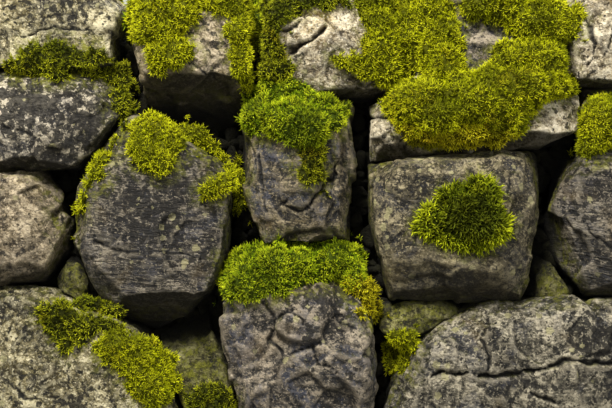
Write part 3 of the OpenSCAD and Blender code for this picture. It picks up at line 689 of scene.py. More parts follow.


# Look of each rock: its dark, body, light and palest colours and its stain, then the numbers that
# LOOK names: the size and stretch of its grain, the shares of crust, lichen and layers, its
# painted blue sheen (a reflection painted into its colour), the share of its stain, how gritty
# it is and how dull
LOOK = ("scale", "stretch", "crust", "lichen", "layers", "sheen", "stained", "grit", "dull")
ROCKS = {
    "beige": (((53, 46, 28), (112, 103, 67), (156, 143, 102), (214, 203, 165), (140, 122, 66)),
              (120, 1.1, 0.6, 0.3, 0.05, 0.1, 0.35, 1.1, 0.55)),
    "sallow": (((30, 28, 12), (73, 68, 37), (104, 97, 53), (146, 141, 88), (100, 104, 28)),
               (110, 1.2, 0.4, 0.35, 0.05, 0.1, 0.6, 0.9, 0.6)),
    "dark": (((15, 14, 11), (44, 41, 37), (81, 76, 69), (166, 152, 129), (156, 134, 98)),
             (95, 1.3, 0.5, 0.22, 0.2, 0.85, 0.45, 0.6, 0.4)),
    "mixed": (((24, 22, 16), (70, 65, 54), (117, 111, 92), (189, 178, 152), (150, 126, 78)),
              (100, 1.4, 0.55, 0.24, 0.3, 0.45, 0.4, 0.85, 0.45)),
    "pale": (((98, 84, 62), (160, 143, 109), (200, 183, 147), (236, 223, 193), (180, 146, 58)),
             (105, 1.3, 0.35, 0.25, 0.15, 0.15, 0.4, 0.8, 0.55)),
    "banded": (((8, 6, 5), (27, 23, 19), (59, 53, 47), (157, 146, 125), (122, 104, 70)),
               (100, 3.0, 0.6, 0.55, 0.95, 0.4, 0.45, 0.5, 0.4)),
    "slate": (((11, 10, 8), (34, 31, 28), (67, 62, 54), (158, 143, 112), (158, 132, 82)),
              (95, 1.7, 0.42, 0.2, 0.4, 0.8, 0.6, 0.6, 0.38)),
    "blotched": (((23, 18, 10), (50, 44, 32), (84, 76, 58), (161, 148, 114), (124, 108, 60)),
                 (110, 1.5, 0.4, 0.75, 0.3, 0.3, 0.45, 0.65, 0.42)),
    "crusted": (((24, 20, 14), (74, 68, 52), (130, 120, 99), (214, 201, 174), (104, 88, 42)),
                (100, 1.6, 0.85, 0.18, 0.3, 0.4, 0.45, 0.8, 0.46)),
    "grey": (((82, 71, 52), (129, 114, 88), (162, 145, 114), (200, 183, 152), (160, 137, 80)),
             (100, 1.4, 0.32, 0.25, 0.2, 0.15, 0.35, 0.85, 0.52)),
}
# Colours that all rocks share. The blue sheen is a painted reflection. Hollows are darkened with
# dirt and painted shade; cracks, undersides and deep joints with painted shade, the undersides
# with their damp and the deep joints with dark soil as well
PAINTED_BLUE_SHEEN, CRUST, LICHEN = rgb(75, 77, 88), rgb(22, 19, 14), rgb(176, 168, 122)
HOLLOW_DIRT_AND_SHADE, CRACK_SHADE, UNDERSIDE_SHADE, DEEP_SOIL_AND_SHADE = rgb(20, 17, 11), rgb(9, 8, 6), rgb(26, 22, 9), rgb(15, 13, 7)
FILM_DARK, FILM_GREEN = rgb(40, 40, 12), rgb(122, 122, 26)


def rock_material(name):
    colours, numbers = ROCKS[name]
    dark, body, light, pale, stain = (rgb(*c) for c in colours)
    look = dict(zip(LOOK, numbers))
    shade = darker(dark, 0.35)
    g, at = material_of("Rock " + name)
    step = (list(ROCKS).index(name) + 1) * 3.7
    at = g.add("ShaderNodeMapping", {"Vector": at, "Location": (step, step * 0.6, 0)}).outputs[0]

    tone = g.use("Rock Mottle", Vector=at, Scale=float(look["scale"]), Stretch=look["stretch"])
    colour = g.ramp(tone, [(0.28, shade), (0.37, dark), (0.46, body), (0.57, light), (0.70, pale)])
    bands = g.use("Rock Layers", Vector=at, Across=22.0, Along=210.0)
    crust = g.use("Crust Speckle", Vector=at, Scale=72.0, Cover=look["crust"])
    spots = g.use("Lichen Spots", Vector=at, Scale=48.0, Cover=look["lichen"] * 0.62)
    film = g.range(g.noise(at, 60.0, 6.0, 0.8), 0.44, 0.58)
    green = g.times(g.marked("green"), g.plus(g.times(film, 0.9), 0.1))
    deep = g.range(g.marked("depth"), 0.32, 0.8, 0.0, 0.95)
    for mask, over in (
        # Painted sheen: bluish patches of reflection painted into the colour
        (g.range(g.noise(at, 15.0, 4.0, 0.65, 0.4), 0.49, 0.58, 0.0, look["sheen"]), PAINTED_BLUE_SHEEN),
        (g.range(bands, 0.49, 0.38, 0.0, look["layers"]), dark),
        (g.range(bands, 0.57, 0.68, 0.0, look["layers"]), pale),
        (g.range(g.noise(at, 6.0, 3.0, 0.6, 0.6), 0.54, 0.7, 0.0, look["stained"]), stain),
        # Pale flecks: the rock's own grains, and partly painted glints
        (g.range(g.noise(at, 190.0, 3.0, 0.6), 0.55, 0.61, 0.0, 0.75), pale),
        (g.range(g.noise(at, 150.0, 3.0, 0.6), 0.44, 0.37, 0.0, 0.8), shade),
        (g.times(g.marked("ridge"), 0.42), pale),
        (g.times(crust, 0.9), CRUST),
        (g.times(spots, 0.72), LICHEN),
        # Hollows of the skin darkened: dirt, and painted shade
        (g.times(g.marked("hollow"), 0.62), HOLLOW_DIRT_AND_SHADE),
        (green, g.mix(film, FILM_DARK, FILM_GREEN)),
        # Cracks painted near black: painted shade inside them
        (g.times(g.marked("crack"), 0.9), CRACK_SHADE),
        # Undersides darkened: painted shade, and their damp
        (g.times(g.marked("under"), 0.86), UNDERSIDE_SHADE),
        # Deep in the joints darkened: painted shade, and dark soil
        (deep, DEEP_SOIL_AND_SHADE),
    ):
        colour = g.mix(mask, colour, over)
    rough = g.range(g.noise(at, 40.0, 4.0, 0.6), 0.35, 0.65, look["dull"], look["dull"] + 0.28)
    rough = g.larger(rough, g.larger(deep, g.marked("under")))
    skin = g.use("Stone Skin", Vector=at, Tone=tone, Grit=look["grit"],
                 Layers=g.times(bands, look["layers"] * 4.0))
    g.shader(skin, 1.0, 0.0028, 0.3, **{"Base Color": colour, "Roughness": rough})


# Look of each moss: its shoot tips, its body, its share of rusty brown, and how much painted shade
# darkens it in the middle against the rim
MOSSES = {
    "bright": ((255, 254, 40), (220, 226, 10), 0.3, 0.1),
    "green": ((246, 255, 44), (156, 188, 12), 0.1, 0.1),
    "golden": ((255, 244, 48), (224, 208, 14), 0.5, 0.1),
    "deep": ((226, 228, 40), (122, 130, 14), 0.3, 0.2),
    "star": ((246, 252, 40), (150, 168, 12), 0.2, 0.85),
}
# Colours that all mosses share: a darker green for random patches, painted shade for the middle of
# a cushion, and rusty brown
MOSS_SHADE, MOSS_MIDDLE_SHADE, RUSTY = rgb(84, 104, 8), rgb(58, 66, 8), rgb(156, 96, 16)


def moss_material(name):
    tip, body, rust, middle_shade = MOSSES[name]
    tip, body = rgb(*tip), rgb(*body)
    root = darker(body, 0.1)
    g, at = material_of("Moss " + name)
    tint, lump = g.marked("tint"), g.marked("lump")
    # Shoots nearer the tip colour where the cushion bulges: painted light, with a random tint
    vivid = g.sum(g.times(tint, 0.6), (lump, 0.4))
    brown = g.range(g.noise(at, 12.0, 4.0, 0.65), 0.56, 0.66)
    clump = g.range(g.noise(at, 50.0, 4.0, 0.7), 0.42, 0.58)
    lit = g.sum(g.times(tint, 0.4), (lump, 0.5), (clump, 0.7))
    shoot = g.mix(g.range(vivid, 0.3, 0.75), body, tip)
    for mask, over in (
        (g.times(g.range(g.noise(at, 24.0, 4.0, 0.65, 0.3), 0.40, 0.60), 0.4), body),
        (g.range(g.noise(at, 11.0, 4.0, 0.6, 0.3), 0.46, 0.64, 0.0, 0.6), MOSS_SHADE),
        # Painted shade in the middle of a cushion
        (g.times(g.minus(1.0, g.marked("rim")), middle_shade), MOSS_MIDDLE_SHADE),
        (g.times(g.times(brown, rust), g.range(tint, 0.3, 0.7)), RUSTY),
    ):
        shoot = g.mix(mask, shoot, over)
    # Darker towards the root of each shoot and on the cushion's skin: the shoots' darker base,
    # deepened as painted shade between them
    colour = g.mix(g.range(g.marked("tip"), 0.1, 0.85), root, shoot)
    # Painted shade: where lit is low, in the hollows between lumps and in random clumps, the colour
    # goes to the dark root
    colour = g.mix(g.range(lit, 0.85, 0.3, 0.0, 0.93), colour, root)
    fuzz = g.noise(at, 420.0, 3.0, 0.7)
    rough = g.range(fuzz, 0.3, 0.7, 0.65, 0.95)
    g.shader(fuzz, 0.8, 0.003, 0.12, **{"Base Color": colour, "Roughness": rough})


# Moss

# Moss cushions: name, the CAD node that the cushion is a solid of, if any, look, thickness in mm,
# tufts' size in mm, and the outline in grid points from the side that the cushion is seen from
FRONT_MOSS = [
    ("moss_wedge_crown", "cope_moss", "bright", 20, 10,
     "-17.8,47.4 -18.6,49.6 -18.6,53 -11,53 -10.8,49.6 -12,47.6 -14.6,46.4 -16,46.2"),
    ("moss_wedge_lip", "cope_moss", "bright", 15, 10,
     "-15.8,46.2 -13.4,47.8 -11.6,47 -11.2,45.4 -13.2,44 -15,43.4 -16,44.4"),
    ("moss_wedge_side", "cope_moss", "bright", 16, 10,
     "-8.2,47.6 -7.2,49.6 -11.2,50.2 -11,53 -6,53.4 -4.9,49 -5.6,45 -5.8,41.4 -7.2,42.6 -7.6,45"),
    ("moss_upper_ledge", None, "deep", 9, 10,
     "-30.6,43.6 -28.6,46.4 -24.6,47 -21,46.2 -18.6,44.6 -17.9,40.4 -18.8,37.6 -19.6,39.4 "
     "-20.2,42.2 -23,43.2 -27,42.8"),
    ("moss_boulder_top", "face_moss", "bright", 13, 10,
     "-18.6,38.6 -16.6,39.8 -13,38.6 -9.4,36.6 -8,34.4 -9.8,34.8 -11.6,36.4 -12.8,35.4 -13,33.8 "
     "-15,33 -17.2,34.2 -18,36.2"),
    ("moss_boulder_rim", None, "bright", 9, 10,
     "-24.2,27.2 -23.8,30.6 -22,33.8 -19.4,37.4 -18.8,37 -20.8,33.6 -20,32.4 -21.6,31.6 -22.6,29"),
    ("moss_boulder_side", None, "bright", 13, 10,
     "-10.6,31.2 -9,33.4 -7.2,35.2 -6.4,33.2 -6.5,29 -7.6,28.6 -8.2,30.6"),
    ("moss_upright_top", "face_moss", "green", 24, 10.6,
     "-6.8,39.4 -6.4,42.2 -4,43.4 -1.8,43.2 1,41.8 4.4,40.6 4.6,38.8 3,37.4 1.6,36 0.2,35.4 "
     "-1.4,36.4 -3,36.6 -4.8,37.2 -6.4,37.2"),
    ("moss_upright_drip", None, "deep", 9, 10,
     "-0.8,36.6 1.6,36.2 2,33.6 1.2,31.8 -0.6,32.6 -1.2,34.6"),
    ("moss_hollow_left", "cope_moss", "deep", 14, 10,
     "-4.8,42.8 -5,48.4 -4.6,53 0.6,53.4 4.6,53.4 4.4,51 0.4,50.4 -2.4,49 -3,46.4 -1.4,44.6 "
     "-1.6,42.6"),
    ("moss_hollow_right", "cope_moss", "bright", 22, 10.6,
     "5.8,49.6 4.6,53.6 9.2,53.8 12,50 12.4,46 11,42.4 8,42.2 4.6,43.6 2.8,45.2 6,45.6"),
    ("moss_mound_left", "cope_moss", "bright", 16, 10.6,
     "12,42 11.4,47 10.4,52.4 13.4,53.6 15.8,50 15.8,45.6 17.4,43"),
    ("moss_mound_top", "cope_moss", "bright", 22, 10.6,
     "15.6,50.2 17,53.6 26,53.8 28.4,50 28,47 25.6,46.6 21.4,47 20.4,49 17.4,49.2"),
    ("moss_mound_right", "cope_moss", "bright", 18, 10,
     "18.4,44.8 20.6,46.8 26,46.8 27.4,44 26.6,42.6 18,42.4"),
    ("moss_slab_mat", "cope_moss", "bright", 30, 10.6,
     "7.8,40.6 9.2,43 14,43.6 18,44.2 22,44.4 27.4,43.6 28.4,41.2 24.6,40.8 22.6,38.6 21.6,37.4 "
     "18,37.6 13,36.8 9.6,37.6"),
    ("moss_slab_fringe", "cope_moss", "golden", 16, 10.6,
     "9.2,38.6 12.4,39.4 16.6,39 21.4,38.2 20.8,36.8 16,36 11.4,36.4 9.4,37.4"),
    ("moss_square_tuft", "face_moss", "star", 24, 17,
     "10.9,27.6 11.6,29 13.2,30.2 14,31.6 15.6,32 17.2,33.2 18,32.4 18.8,31.6 19.4,30 20.6,28.4 "
     "19.2,26.8 17.2,25.4 14.4,26"),
    ("moss_side_top", "face_moss", "bright", 20, 10.6,
     "27.8,35.6 27.9,38 29,40.8 31.4,41.6 34,40.6 34,37.4 31,36 29.4,34.4"),
    ("moss_middle_top", "face_moss", "green", 24, 10.6,
     "-8.8,22 -8.6,24.6 -6,26 -2.8,26.6 0,26.2 3.4,27 5.6,25.2 6.8,22.4 5,21.4 2.4,22.6 -0.6,22 "
     "-3.6,21 -6.2,20.6 -8,20.2"),
    ("moss_middle_side", "face_moss", "golden", 17, 10.6,
     "3.4,23.4 5.2,23.8 7,21.4 7.8,18.8 6.6,18 5.4,19.4 4.4,21"),
    ("moss_right_ball", "face_moss", "bright", 17, 10,
     "8.2,16.2 9.6,17.4 11.4,17.6 11,15.6 10.4,13 8.8,12.2 7.8,13.6"),
    ("moss_left_shoulder", "face_moss", "deep", 8, 10,
     "-27,19.4 -24.8,20.8 -20.4,20.6 -17.4,18.6 -18.6,17.4 -22,17.2 -24,15.4 -26,17"),
    ("moss_left_front", "face_moss", "bright", 14, 10,
     "-21.4,16.2 -18.6,18 -15.6,17 -13,14.2 -12.8,11.4 -14.6,9.6 -17.4,11.6 -18.4,14.2 "
     "-20.4,14.6"),
    ("moss_wedge_foot", None, "deep", 12, 10,
     "-12.8,11.2 -9.2,12.4 -7.4,11.4 -7,8.4 -11.8,8"),
]
BACK_MOSS = [
    ("moss_back_left", "back_moss", "bright", 18, 14,
     "-38,43 -30,45.6 -22,45 -18,42.6 -22,41 -30,40.6"),
    ("moss_back_middle", "back_moss", "green", 18, 14,
     "-6,34.4 -2,37.4 4,37.6 8,35 4,32 0,33"),
    ("moss_back_right", "back_moss", "golden", 16, 14,
     "24,22.6 28,25.4 36,24.6 38,21.6 32,20.4 26,19.4"),
    ("moss_back_foot", None, "deep", 16, 14,
     "-24,20 -20,23 -14,22.6 -12,19 -16,15 -20,17"),
]
TOP_MOSS = [
    ("moss_cope_left", "cope_moss", "bright", 17, 14,
     "-39,-8 -35,5 -29,9.5 -22,6 -20,-6 -27,-10"),
    ("moss_cope_wedge", "cope_moss", "green", 16, 14,
     "-19,-9 -19,7 -11,10 -4,6 -4,-9.6"),
    ("moss_cope_middle", "cope_moss", "bright", 16, 14,
     "1,-10 -3,1 0,9 7,9 9,-1 7,-10"),
    ("moss_cope_mound", "cope_moss", "bright", 15, 13,
     "11,-10 10.5,6 16,10 24,8.5 26,-2 25,-10"),
    ("moss_cope_right", "cope_moss", "green", 16, 14,
     "31,-2 32,8 40,9 42,1 38,-6"),
]
# How each set is seen: the way the looks go, where they start, the spacing of the balls, the
# coarseness of the cushions' mesh, and the share of the close view's tufts
SETS = (
    (FRONT_MOSS, Vector((0, 1, 0)), lambda a, b: Vector((a, -1.2, b)), 0.6, 1.0, 1.0),
    (BACK_MOSS, Vector((0, -1, 0)), lambda a, b: Vector((a, 1.2, b)), 1.0, 1.6, 0.4),
    (TOP_MOSS, Vector((0, 0, -1)), lambda a, b: Vector((a, b, 1.6)), 1.0, 1.6, 0.36),
)


def inside(points, outline):
    """Whether each point lies in the outline, and its distance from the edge."""
    hit = np.zeros(len(points), bool)
    far = np.full(len(points), 1e9)
    for a, b in zip(outline, np.roll(outline, -1, 0)):
        crosses = (a[1] > points[:, 1]) != (b[1] > points[:, 1])
        with np.errstate(divide="ignore", invalid="ignore"):
            x = (b[0] - a[0]) * (points[:, 1] - a[1]) / (b[1] - a[1]) + a[0]
        hit ^= crosses & (points[:, 0] < x)
        t = np.clip(((points - a) @ (b - a)) / ((b - a) @ (b - a)), 0, 1)
        far = np.minimum(far, np.linalg.norm(points - a - t[:, None] * (b - a), axis=1))
    return hit, far


def scattered(outline, spacing, rng):
    """Jittered points in a ragged version of an outline, with their distance from its edge."""
    lo, hi = outline.min(0) - 1.2, outline.max(0) + 1.2
    pts = []
    for row, z in enumerate(np.arange(lo[1], hi[1], spacing * 0.87)):
        for x in np.arange(lo[0] + (row % 2) * spacing / 2, hi[0], spacing):
            pts.append([c + rng.uniform(-0.3, 0.3) * spacing for c in (x, z)])
    pts = np.array(pts)
    hit, far = inside(pts, outline)
    ragged = [
        0.75 * noise.noise(Vector((x * 0.55, y * 0.55, 3)))
        + 0.5 * noise.noise(Vector((x, y, 9)) * 1.5) for x, y in pts
    ]
    edge = np.where(hit, far, -far) + ragged
    stray = np.array([rng.random() < 0.22 for _ in edge]) & (edge > -1.0)
    chosen = (edge > 0.05) | stray
    return pts[chosen], edge[chosen]


def radii_of(pts, edge, thick, seed, rng):
    """The radius in metres of the moss ball at each point: smaller towards the edge."""
    return [
        min(thick, max(4.6 + e * 9, 4)) * (1 + 0.55 * noise.noise(Vector((*p, seed)) * 0.9))
        * rng.uniform(0.85, 1.12) / 1000 for p, e in zip(pts, edge)
    ]


def cushion(name, surface, towards, outline, starts, radii, voxel, seed, overhang=0.035):
    """A lumpy moss cushion: balls set where rays meet the stones, melted into one skin."""
    bm = bmesh.new()
    rng = random.Random(seed)
    hits = []
    for start, r in zip(starts, radii):
        at, normal, _, _ = surface.ray_cast(start, towards)
        if at is not None:
            hits.append((at, normal, r))
    usual = sorted(at.dot(towards) for at, _, _ in hits)[len(hits) // 2]
    for at, normal, r in hits:
        over = at.dot(towards) - usual
        if over > overhang:
            at = at - towards * (over - overhang) * 0.8
        centre = at + normal * r * 0.1 - towards * r * 0.15
        size = Matrix.Diagonal((r * rng.uniform(0.9, 1.3), r, r * rng.uniform(0.9, 1.25), 1))
        turn = Matrix.Rotation(rng.uniform(0, 6), 4, "Z")
        bmesh.ops.create_icosphere(
            bm, subdivisions=1, radius=1.0, matrix=Matrix.Translation(centre) @ size @ turn
        )
    mesh = remeshed(mesh_of(bm, name), voxel)
    co = spread_mean(mesh, coords(mesh), 1)
    set_coords(mesh, co)
    normals = coords(mesh, "normal")
    swell = np.array([
        6.5 * noise.noise(Vector(p) * 34) + 5.0 * noise.noise(Vector(p) * 80) for p in co
    ])
    co = co + normals * (swell / 1000)[:, None]
    co[:, 2] = np.maximum(co[:, 2], 0)
    set_coords(mesh, co)
    cover = np.zeros(len(co))
    for k, p in enumerate(co):
        at, normal, _, _ = surface.find_nearest(Vector(p))
        cover[k] = 1.0 if (Vector(p) - at).dot(normal) > 0 else 0.0
    store(mesh, "cover", cover)
    mesh = thinned(mesh, 1.0 - cover, np.where(cover < 1, 0.1, 1.0), 0.5)
    co = coords(mesh)
    bulge = bulge_of(mesh, coords(mesh, "normal"))
    # How far each point bulges; the moss material paints the bulges lighter and the hollows between
    # them darker
    store(mesh, "lump", np.clip(0.4 + bulge / 3, 0, 1))
    across = [0, 1] if abs(towards.z) > 0.5 else [0, 2]
    hit, far = inside(co[:, across] / GRID, outline)
    # 1 at the rim of the outline and 0 in its middle; the moss material paints shade into the
    # middle
    store(mesh, "rim", np.where(hit, np.clip(1 - far / 1.7, 0, 1), 1))
    # The cushion's skin takes the dark colour of the shoots' base, with painted shade under the
    # tufts
    store(mesh, "tip", np.full(len(co), 0.15))
    store(mesh, "tint", np.full(len(co), 0.3))
    shade_smooth(mesh)
    return mesh


def tuft_mesh():
    """One spray of moss shoots, 1 unit tall, with its root at the origin."""
    bm = bmesh.new()
    tip = bm.verts.layers.float.new("tip")
    rng = random.Random(5)
    for k in range(4):
        lean = Matrix.Rotation(rng.uniform(0.1, 1.0), 4, "Y")
        around = Matrix.Rotation(k * 2.4 + rng.uniform(-0.4, 0.4), 4, "Z")
        long = rng.uniform(0.7, 1.1)
        made = bmesh.ops.create_cone(
            bm, segments=3, radius1=0.165, radius2=0.0, depth=long, cap_ends=True,
            matrix=around @ lean @ Matrix.Translation((0, 0, long / 2)),
        )
        for v in made["verts"]:
            v[tip] = 1.0 if v.co.length > 0.3 else 0.0
    bmesh.ops.remove_doubles(bm, verts=bm.verts, dist=1e-4)
    return mesh_of(bm, "moss_tuft")


def chip_mesh():
    """One small broken stone, 1 unit in radius."""
    bm = bmesh.new()
    bmesh.ops.create_icosphere(bm, subdivisions=2, radius=1.0)
    rng = random.Random(8)
    for _ in range(9):
        n = Vector([rng.gauss(0, 1) for _ in range(3)]).normalized()
        level = rng.uniform(0.4, 0.75)
        for v in bm.verts:
            v.co -= n * max(0, v.co.dot(n) - level)
    bmesh.ops.dissolve_limit(bm, angle_limit=0.12, verts=bm.verts, edges=bm.edges)
    bmesh.ops.triangulate(bm, faces=bm.faces)
    return mesh_of(bm, "stone_chip")


def scatter_nodes(name, thing, over_faces, turns):
    """Geometry Nodes that set out many small things, on faces or at points, and make them real."""
    tree = bpy.data.node_groups.new(name, "GeometryNodeTree")
    for label, kind in (("Geometry", "Geometry"), ("Density", "Float"), ("Size", "Float"),
                        ("Seed", "Int")):
        tree.interface.new_socket(label, in_out="INPUT", socket_type="NodeSocket" + kind)
    tree.interface.new_socket("Geometry", in_out="OUTPUT", socket_type="NodeSocketGeometry")
    g = Graph(tree)
    i, o = g.add("NodeGroupInput").outputs, g.add("NodeGroupOutput").inputs
    vectors = dict(data_type="FLOAT_VECTOR")
    turn = g.add("FunctionNodeRandomValue", {"Min": [-t for t in turns], "Max": turns},
                 **vectors).outputs["Value"]
    points = i["Geometry"]
    if over_faces:
        cover = g.add("GeometryNodeInputNamedAttribute", {"Name": "cover"}, data_type="FLOAT")
        dense = g.times(cover.outputs["Attribute"], i["Density"])
        spread = g.add("GeometryNodeDistributePointsOnFaces",
                       {"Mesh": i["Geometry"], "Density": dense, "Seed": i["Seed"]}).outputs
        points = spread["Points"]
        turn = g.add("FunctionNodeRotateRotation",
                     {"Rotation": spread["Rotation"], "Rotate By": turn},
                     rotation_space="LOCAL").outputs[0]
    scale = g.add("FunctionNodeRandomValue", {"Min": (0.6, 0.6, 0.6), "Max": (1.35, 1.35, 1.35)},
                  **vectors).outputs["Value"]
    stand = g.add("GeometryNodeInstanceOnPoints", {
        "Points": points, "Rotation": turn,
        "Instance": g.add("GeometryNodeObjectInfo", {"Object": thing}).outputs["Geometry"],
        "Scale": g.vector("SCALE", {0: scale, "Scale": i["Size"]}),
    })
    tint = g.add("FunctionNodeRandomValue", {"Seed": 7}, data_type="FLOAT")
    marked = g.add("GeometryNodeStoreNamedAttribute",
                   {"Geometry": stand.outputs[0], "Name": "tint", "Value": tint.outputs[1]},
                   data_type="FLOAT", domain="INSTANCE")
    real = g.add("GeometryNodeRealizeInstances", {"Geometry": marked.outputs[0]}).outputs[0]
    if over_faces:
        whole = g.add("GeometryNodeJoinGeometry")
        tree.links.new(real, whole.inputs[0])
        tree.links.new(i["Geometry"], whole.inputs[0])
        real = whole.outputs[0]
    tree.links.new(real, o["Geometry"])


def set_out(mesh, group, **values):
    """The mesh that a scattering group makes from a mesh."""
    ob = new_object("work", mesh)
    m = ob.modifiers.new("scatter", "NODES")
    m.node_group = bpy.data.node_groups[group]
    for s in m.node_group.interface.items_tree:
        if s.in_out == "INPUT" and s.name in values:
            m[s.identifier] = values[s.name]
    return applied(ob)


def green_film(mesh):
    """Marks the stone round its moss, and its ledges, for a thin green film."""
    co = coords(mesh)
    flat = co[:, [0, 2]] / GRID
    green = np.zeros(len(co))
    for cushions, sign in ((FRONT_MOSS, -1), (BACK_MOSS, 1)):
        for *_, outline in cushions:
            outline = grid_points(outline)
            by = (flat > outline.min(0) - 1.8) & (flat < outline.max(0) + 1.8)
            near = np.nonzero(by.all(1) & (co[:, 1] * sign > -0.05))[0]
            if len(near):
                hit, far = inside(flat[near], outline)
                film = np.where(hit, 1, np.clip(1 - far / 1.6, 0, 1))
                green[near] = np.maximum(green[near], film)
    up = np.clip(coords(mesh, "normal")[:, 2] - 0.5, 0, 1) * 1.2
    depth = np.array([a.value for a in mesh.attributes["depth"].data])
    joint = 0.8 * np.clip(depth * 3.5 - 0.35, 0, 1)
    store(mesh, "green", np.clip(np.maximum.reduce([green * 0.9, up * 0.7, joint]), 0, 1))


def surface_of(context, *more):
    """The skins of all the stones, and of more pieces, as one surface for rays to meet."""
    bm = bmesh.new()
    for ob in [o for o in context.scene.objects if o.name.endswith("_rock")] + list(more):
        bm.from_mesh(ob.data)
    bmesh.ops.triangulate(bm, faces=bm.faces)
    tree = BVHTree.FromBMesh(bm)
    bm.free()
    return tree


# In metres: how far apart the looks into the joints are, how deep a joint has to be open, how
# near the face the stones beside it lie, and how deep its chips are wedged
JOINT_STEP, JOINT_OPEN, JOINT_SIDES, CHIP_DEPTH = 0.021, 0.10, 0.09, 0.118


def open_joints(surface, side):
    """Points just inside the joints of a face that rays pass too far into."""
    found = []
    xs = np.arange(-1.02, 1.021, JOINT_STEP)
    for z in np.arange(0.04, 1.03, JOINT_STEP):
        face = -face_y(z)
        depth = []
        for x in xs:
            at, *_ = surface.ray_cast(Vector((x, side * 1.2, z)), Vector((0, -side, 0)))
            depth.append(9.0 if at is None else face - side * at.y)
        for k, x in enumerate(xs):
            left, right = depth[max(0, k - 6):k] or [9], depth[k + 1:k + 7] or [9]
            held = min(left) < JOINT_SIDES and min(right) < JOINT_SIDES
            if depth[k] > JOINT_OPEN and held:
                found.append(Vector((x, side * (face - CHIP_DEPTH), z)))
    return found


# Add-on

HEARTING_GRID = 0.016


class WallSettings(bpy.types.PropertyGroup):
    fine_grid: bpy.props.FloatProperty(
        name="Fine Grid", description="Mesh size of the boulders in the close view",
        default=0.0040, min=0.002, max=0.02, unit="LENGTH", subtype="DISTANCE")
    coarse_grid: bpy.props.FloatProperty(
        name="Coarse Grid", description="Mesh size of the other boulders",
        default=0.0095, min=0.004, max=0.03, unit="LENGTH", subtype="DISTANCE")
    relief: bpy.props.FloatProperty(
        name="Relief", description="Strength of the stones' broken surface", default=1.0, min=0.0,
        max=2.0, subtype="FACTOR")
    chip_size: bpy.props.FloatProperty(
        name="Chip Size", description="Radius of the small stones wedged in the joints",
        default=0.022, min=0.005, max=0.04, unit="LENGTH", subtype="DISTANCE")
    moss_grid: bpy.props.FloatProperty(
        name="Moss Grid", description="Mesh size of the moss cushions",
        default=0.0070, min=0.003, max=0.02, unit="LENGTH", subtype="DISTANCE")
    moss_density: bpy.props.FloatProperty(
        name="Moss Density", description="Moss tufts per square metre in the close view",
        default=29500.0, min=0.0, max=200000.0)
    floor_colour: bpy.props.FloatVectorProperty(
        name="Floor Colour", description="Colour of the studio floor and backdrop",
        default=(0.60, 0.60, 0.59), size=3, min=0.0, max=1.0, subtype="COLOR")


def dress(ob, node):
    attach(ob, "root")
    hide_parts(node)


def lay(node, rocks, seed, voxel, **dressing):
    """Weathers the solids of a node, each of its own rock, and sets them in its place."""
    meshes = []
    for j, (mesh, rock) in enumerate(zip(solids_of(node), rocks)):
        mesh = weathered(mesh, rock, seed + j, voxel, **dressing)
        mesh.materials.append(bpy.data.materials["Rock " + rock])
        green_film(mesh)
        meshes.append(mesh)
    dress(joined(node + "_rock", meshes), node)


def covered(name, mesh, material):
    """A new piece that is all of one material."""
    mesh.materials.clear()
    mesh.materials.append(bpy.data.materials[material])
    return new_object(name, mesh)


class WALL_OT_materials(bpy.types.Operator):
    """Make the shared effects and the rock and moss materials"""

    bl_idname = "wall.materials"
    bl_label = "Make Materials"

    def execute(self, context):
        for effect in (mottle_group, speckle_group, lichen_group, layers_group, skin_group):
            effect()
        for name in ROCKS:
            rock_material(name)
        for name in MOSSES:
            moss_material(name)
        return {"FINISHED"}


class WALL_OT_front_stones(bpy.types.Operator):
    """Weather the boulders of the front face and the cope above them"""

    bl_idname = "wall.front_stones"
    bl_label = "Front Boulders"

    def execute(self, context):
        voxel = context.scene.dry_stone_wall.fine_grid * 1
        for k, (node, (rock, push, facets, cracks)) in enumerate(STONES.items()):
            lay(node, [rock], 11 + k, voxel, fine=True, push=push, facets=facets, cracks=cracks,
                to_front=not node.startswith("cope"))
        return {"FINISHED"}


class WALL_OT_outer_stones(bpy.types.Operator):
    """Weather the end stones and the boulders of the back face"""

    bl_idname = "wall.outer_stones"
    bl_label = "End and Back Boulders"

    def execute(self, context):
        voxel = context.scene.dry_stone_wall.coarse_grid * 1
        for k, (node, rocks) in enumerate(OUTER_STONES.items()):
            lay(node, rocks, 40 + 7 * k, voxel)
        return {"FINISHED"}


class WALL_OT_hearting(bpy.types.Operator):
    """Weather the hearting between the faces"""

    bl_idname = "wall.hearting"
    bl_label = "Hearting"

    def execute(self, context):
        for k, node in enumerate(("hearting_lower", "hearting_middle", "hearting_upper")):
            lay(node, repeat("sallow"), 150 + 9 * k, HEARTING_GRID)
        return {"FINISHED"}


class WALL_OT_chips(bpy.types.Operator):
    """Wedge small broken stones into the open joints of both faces"""

    bl_idname = "wall.chips"
    bl_label = "Joint Chips"

    def execute(self, context):
        surface = surface_of(context)
        thing = new_object("stone_chip", chip_mesh())
        scatter_nodes("Joint Chips", thing, False, (3.1, 3.1, 3.1))
        size = context.scene.dry_stone_wall.chip_size
        for name, side in (("front", -1), ("back", 1)):
            bm = bmesh.new()
            rng = random.Random(side + 5)
            for at in open_joints(surface, side):
                shift = Vector([rng.uniform(-0.005, 0.005) for _ in range(3)])
                bm.verts.new(at + shift + Vector((0, -side * rng.uniform(0, 0.025), 0)))
            mesh = set_out(mesh_of(bm, "chips_" + name), "Joint Chips", Size=size, Seed=3)
            mark_skin(mesh)
            green_film(mesh)
            ob = covered("joint_chips_" + name, mesh, "Rock sallow")
            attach(ob, "root")
        bpy.data.objects.remove(thing)
        return {"FINISHED"}


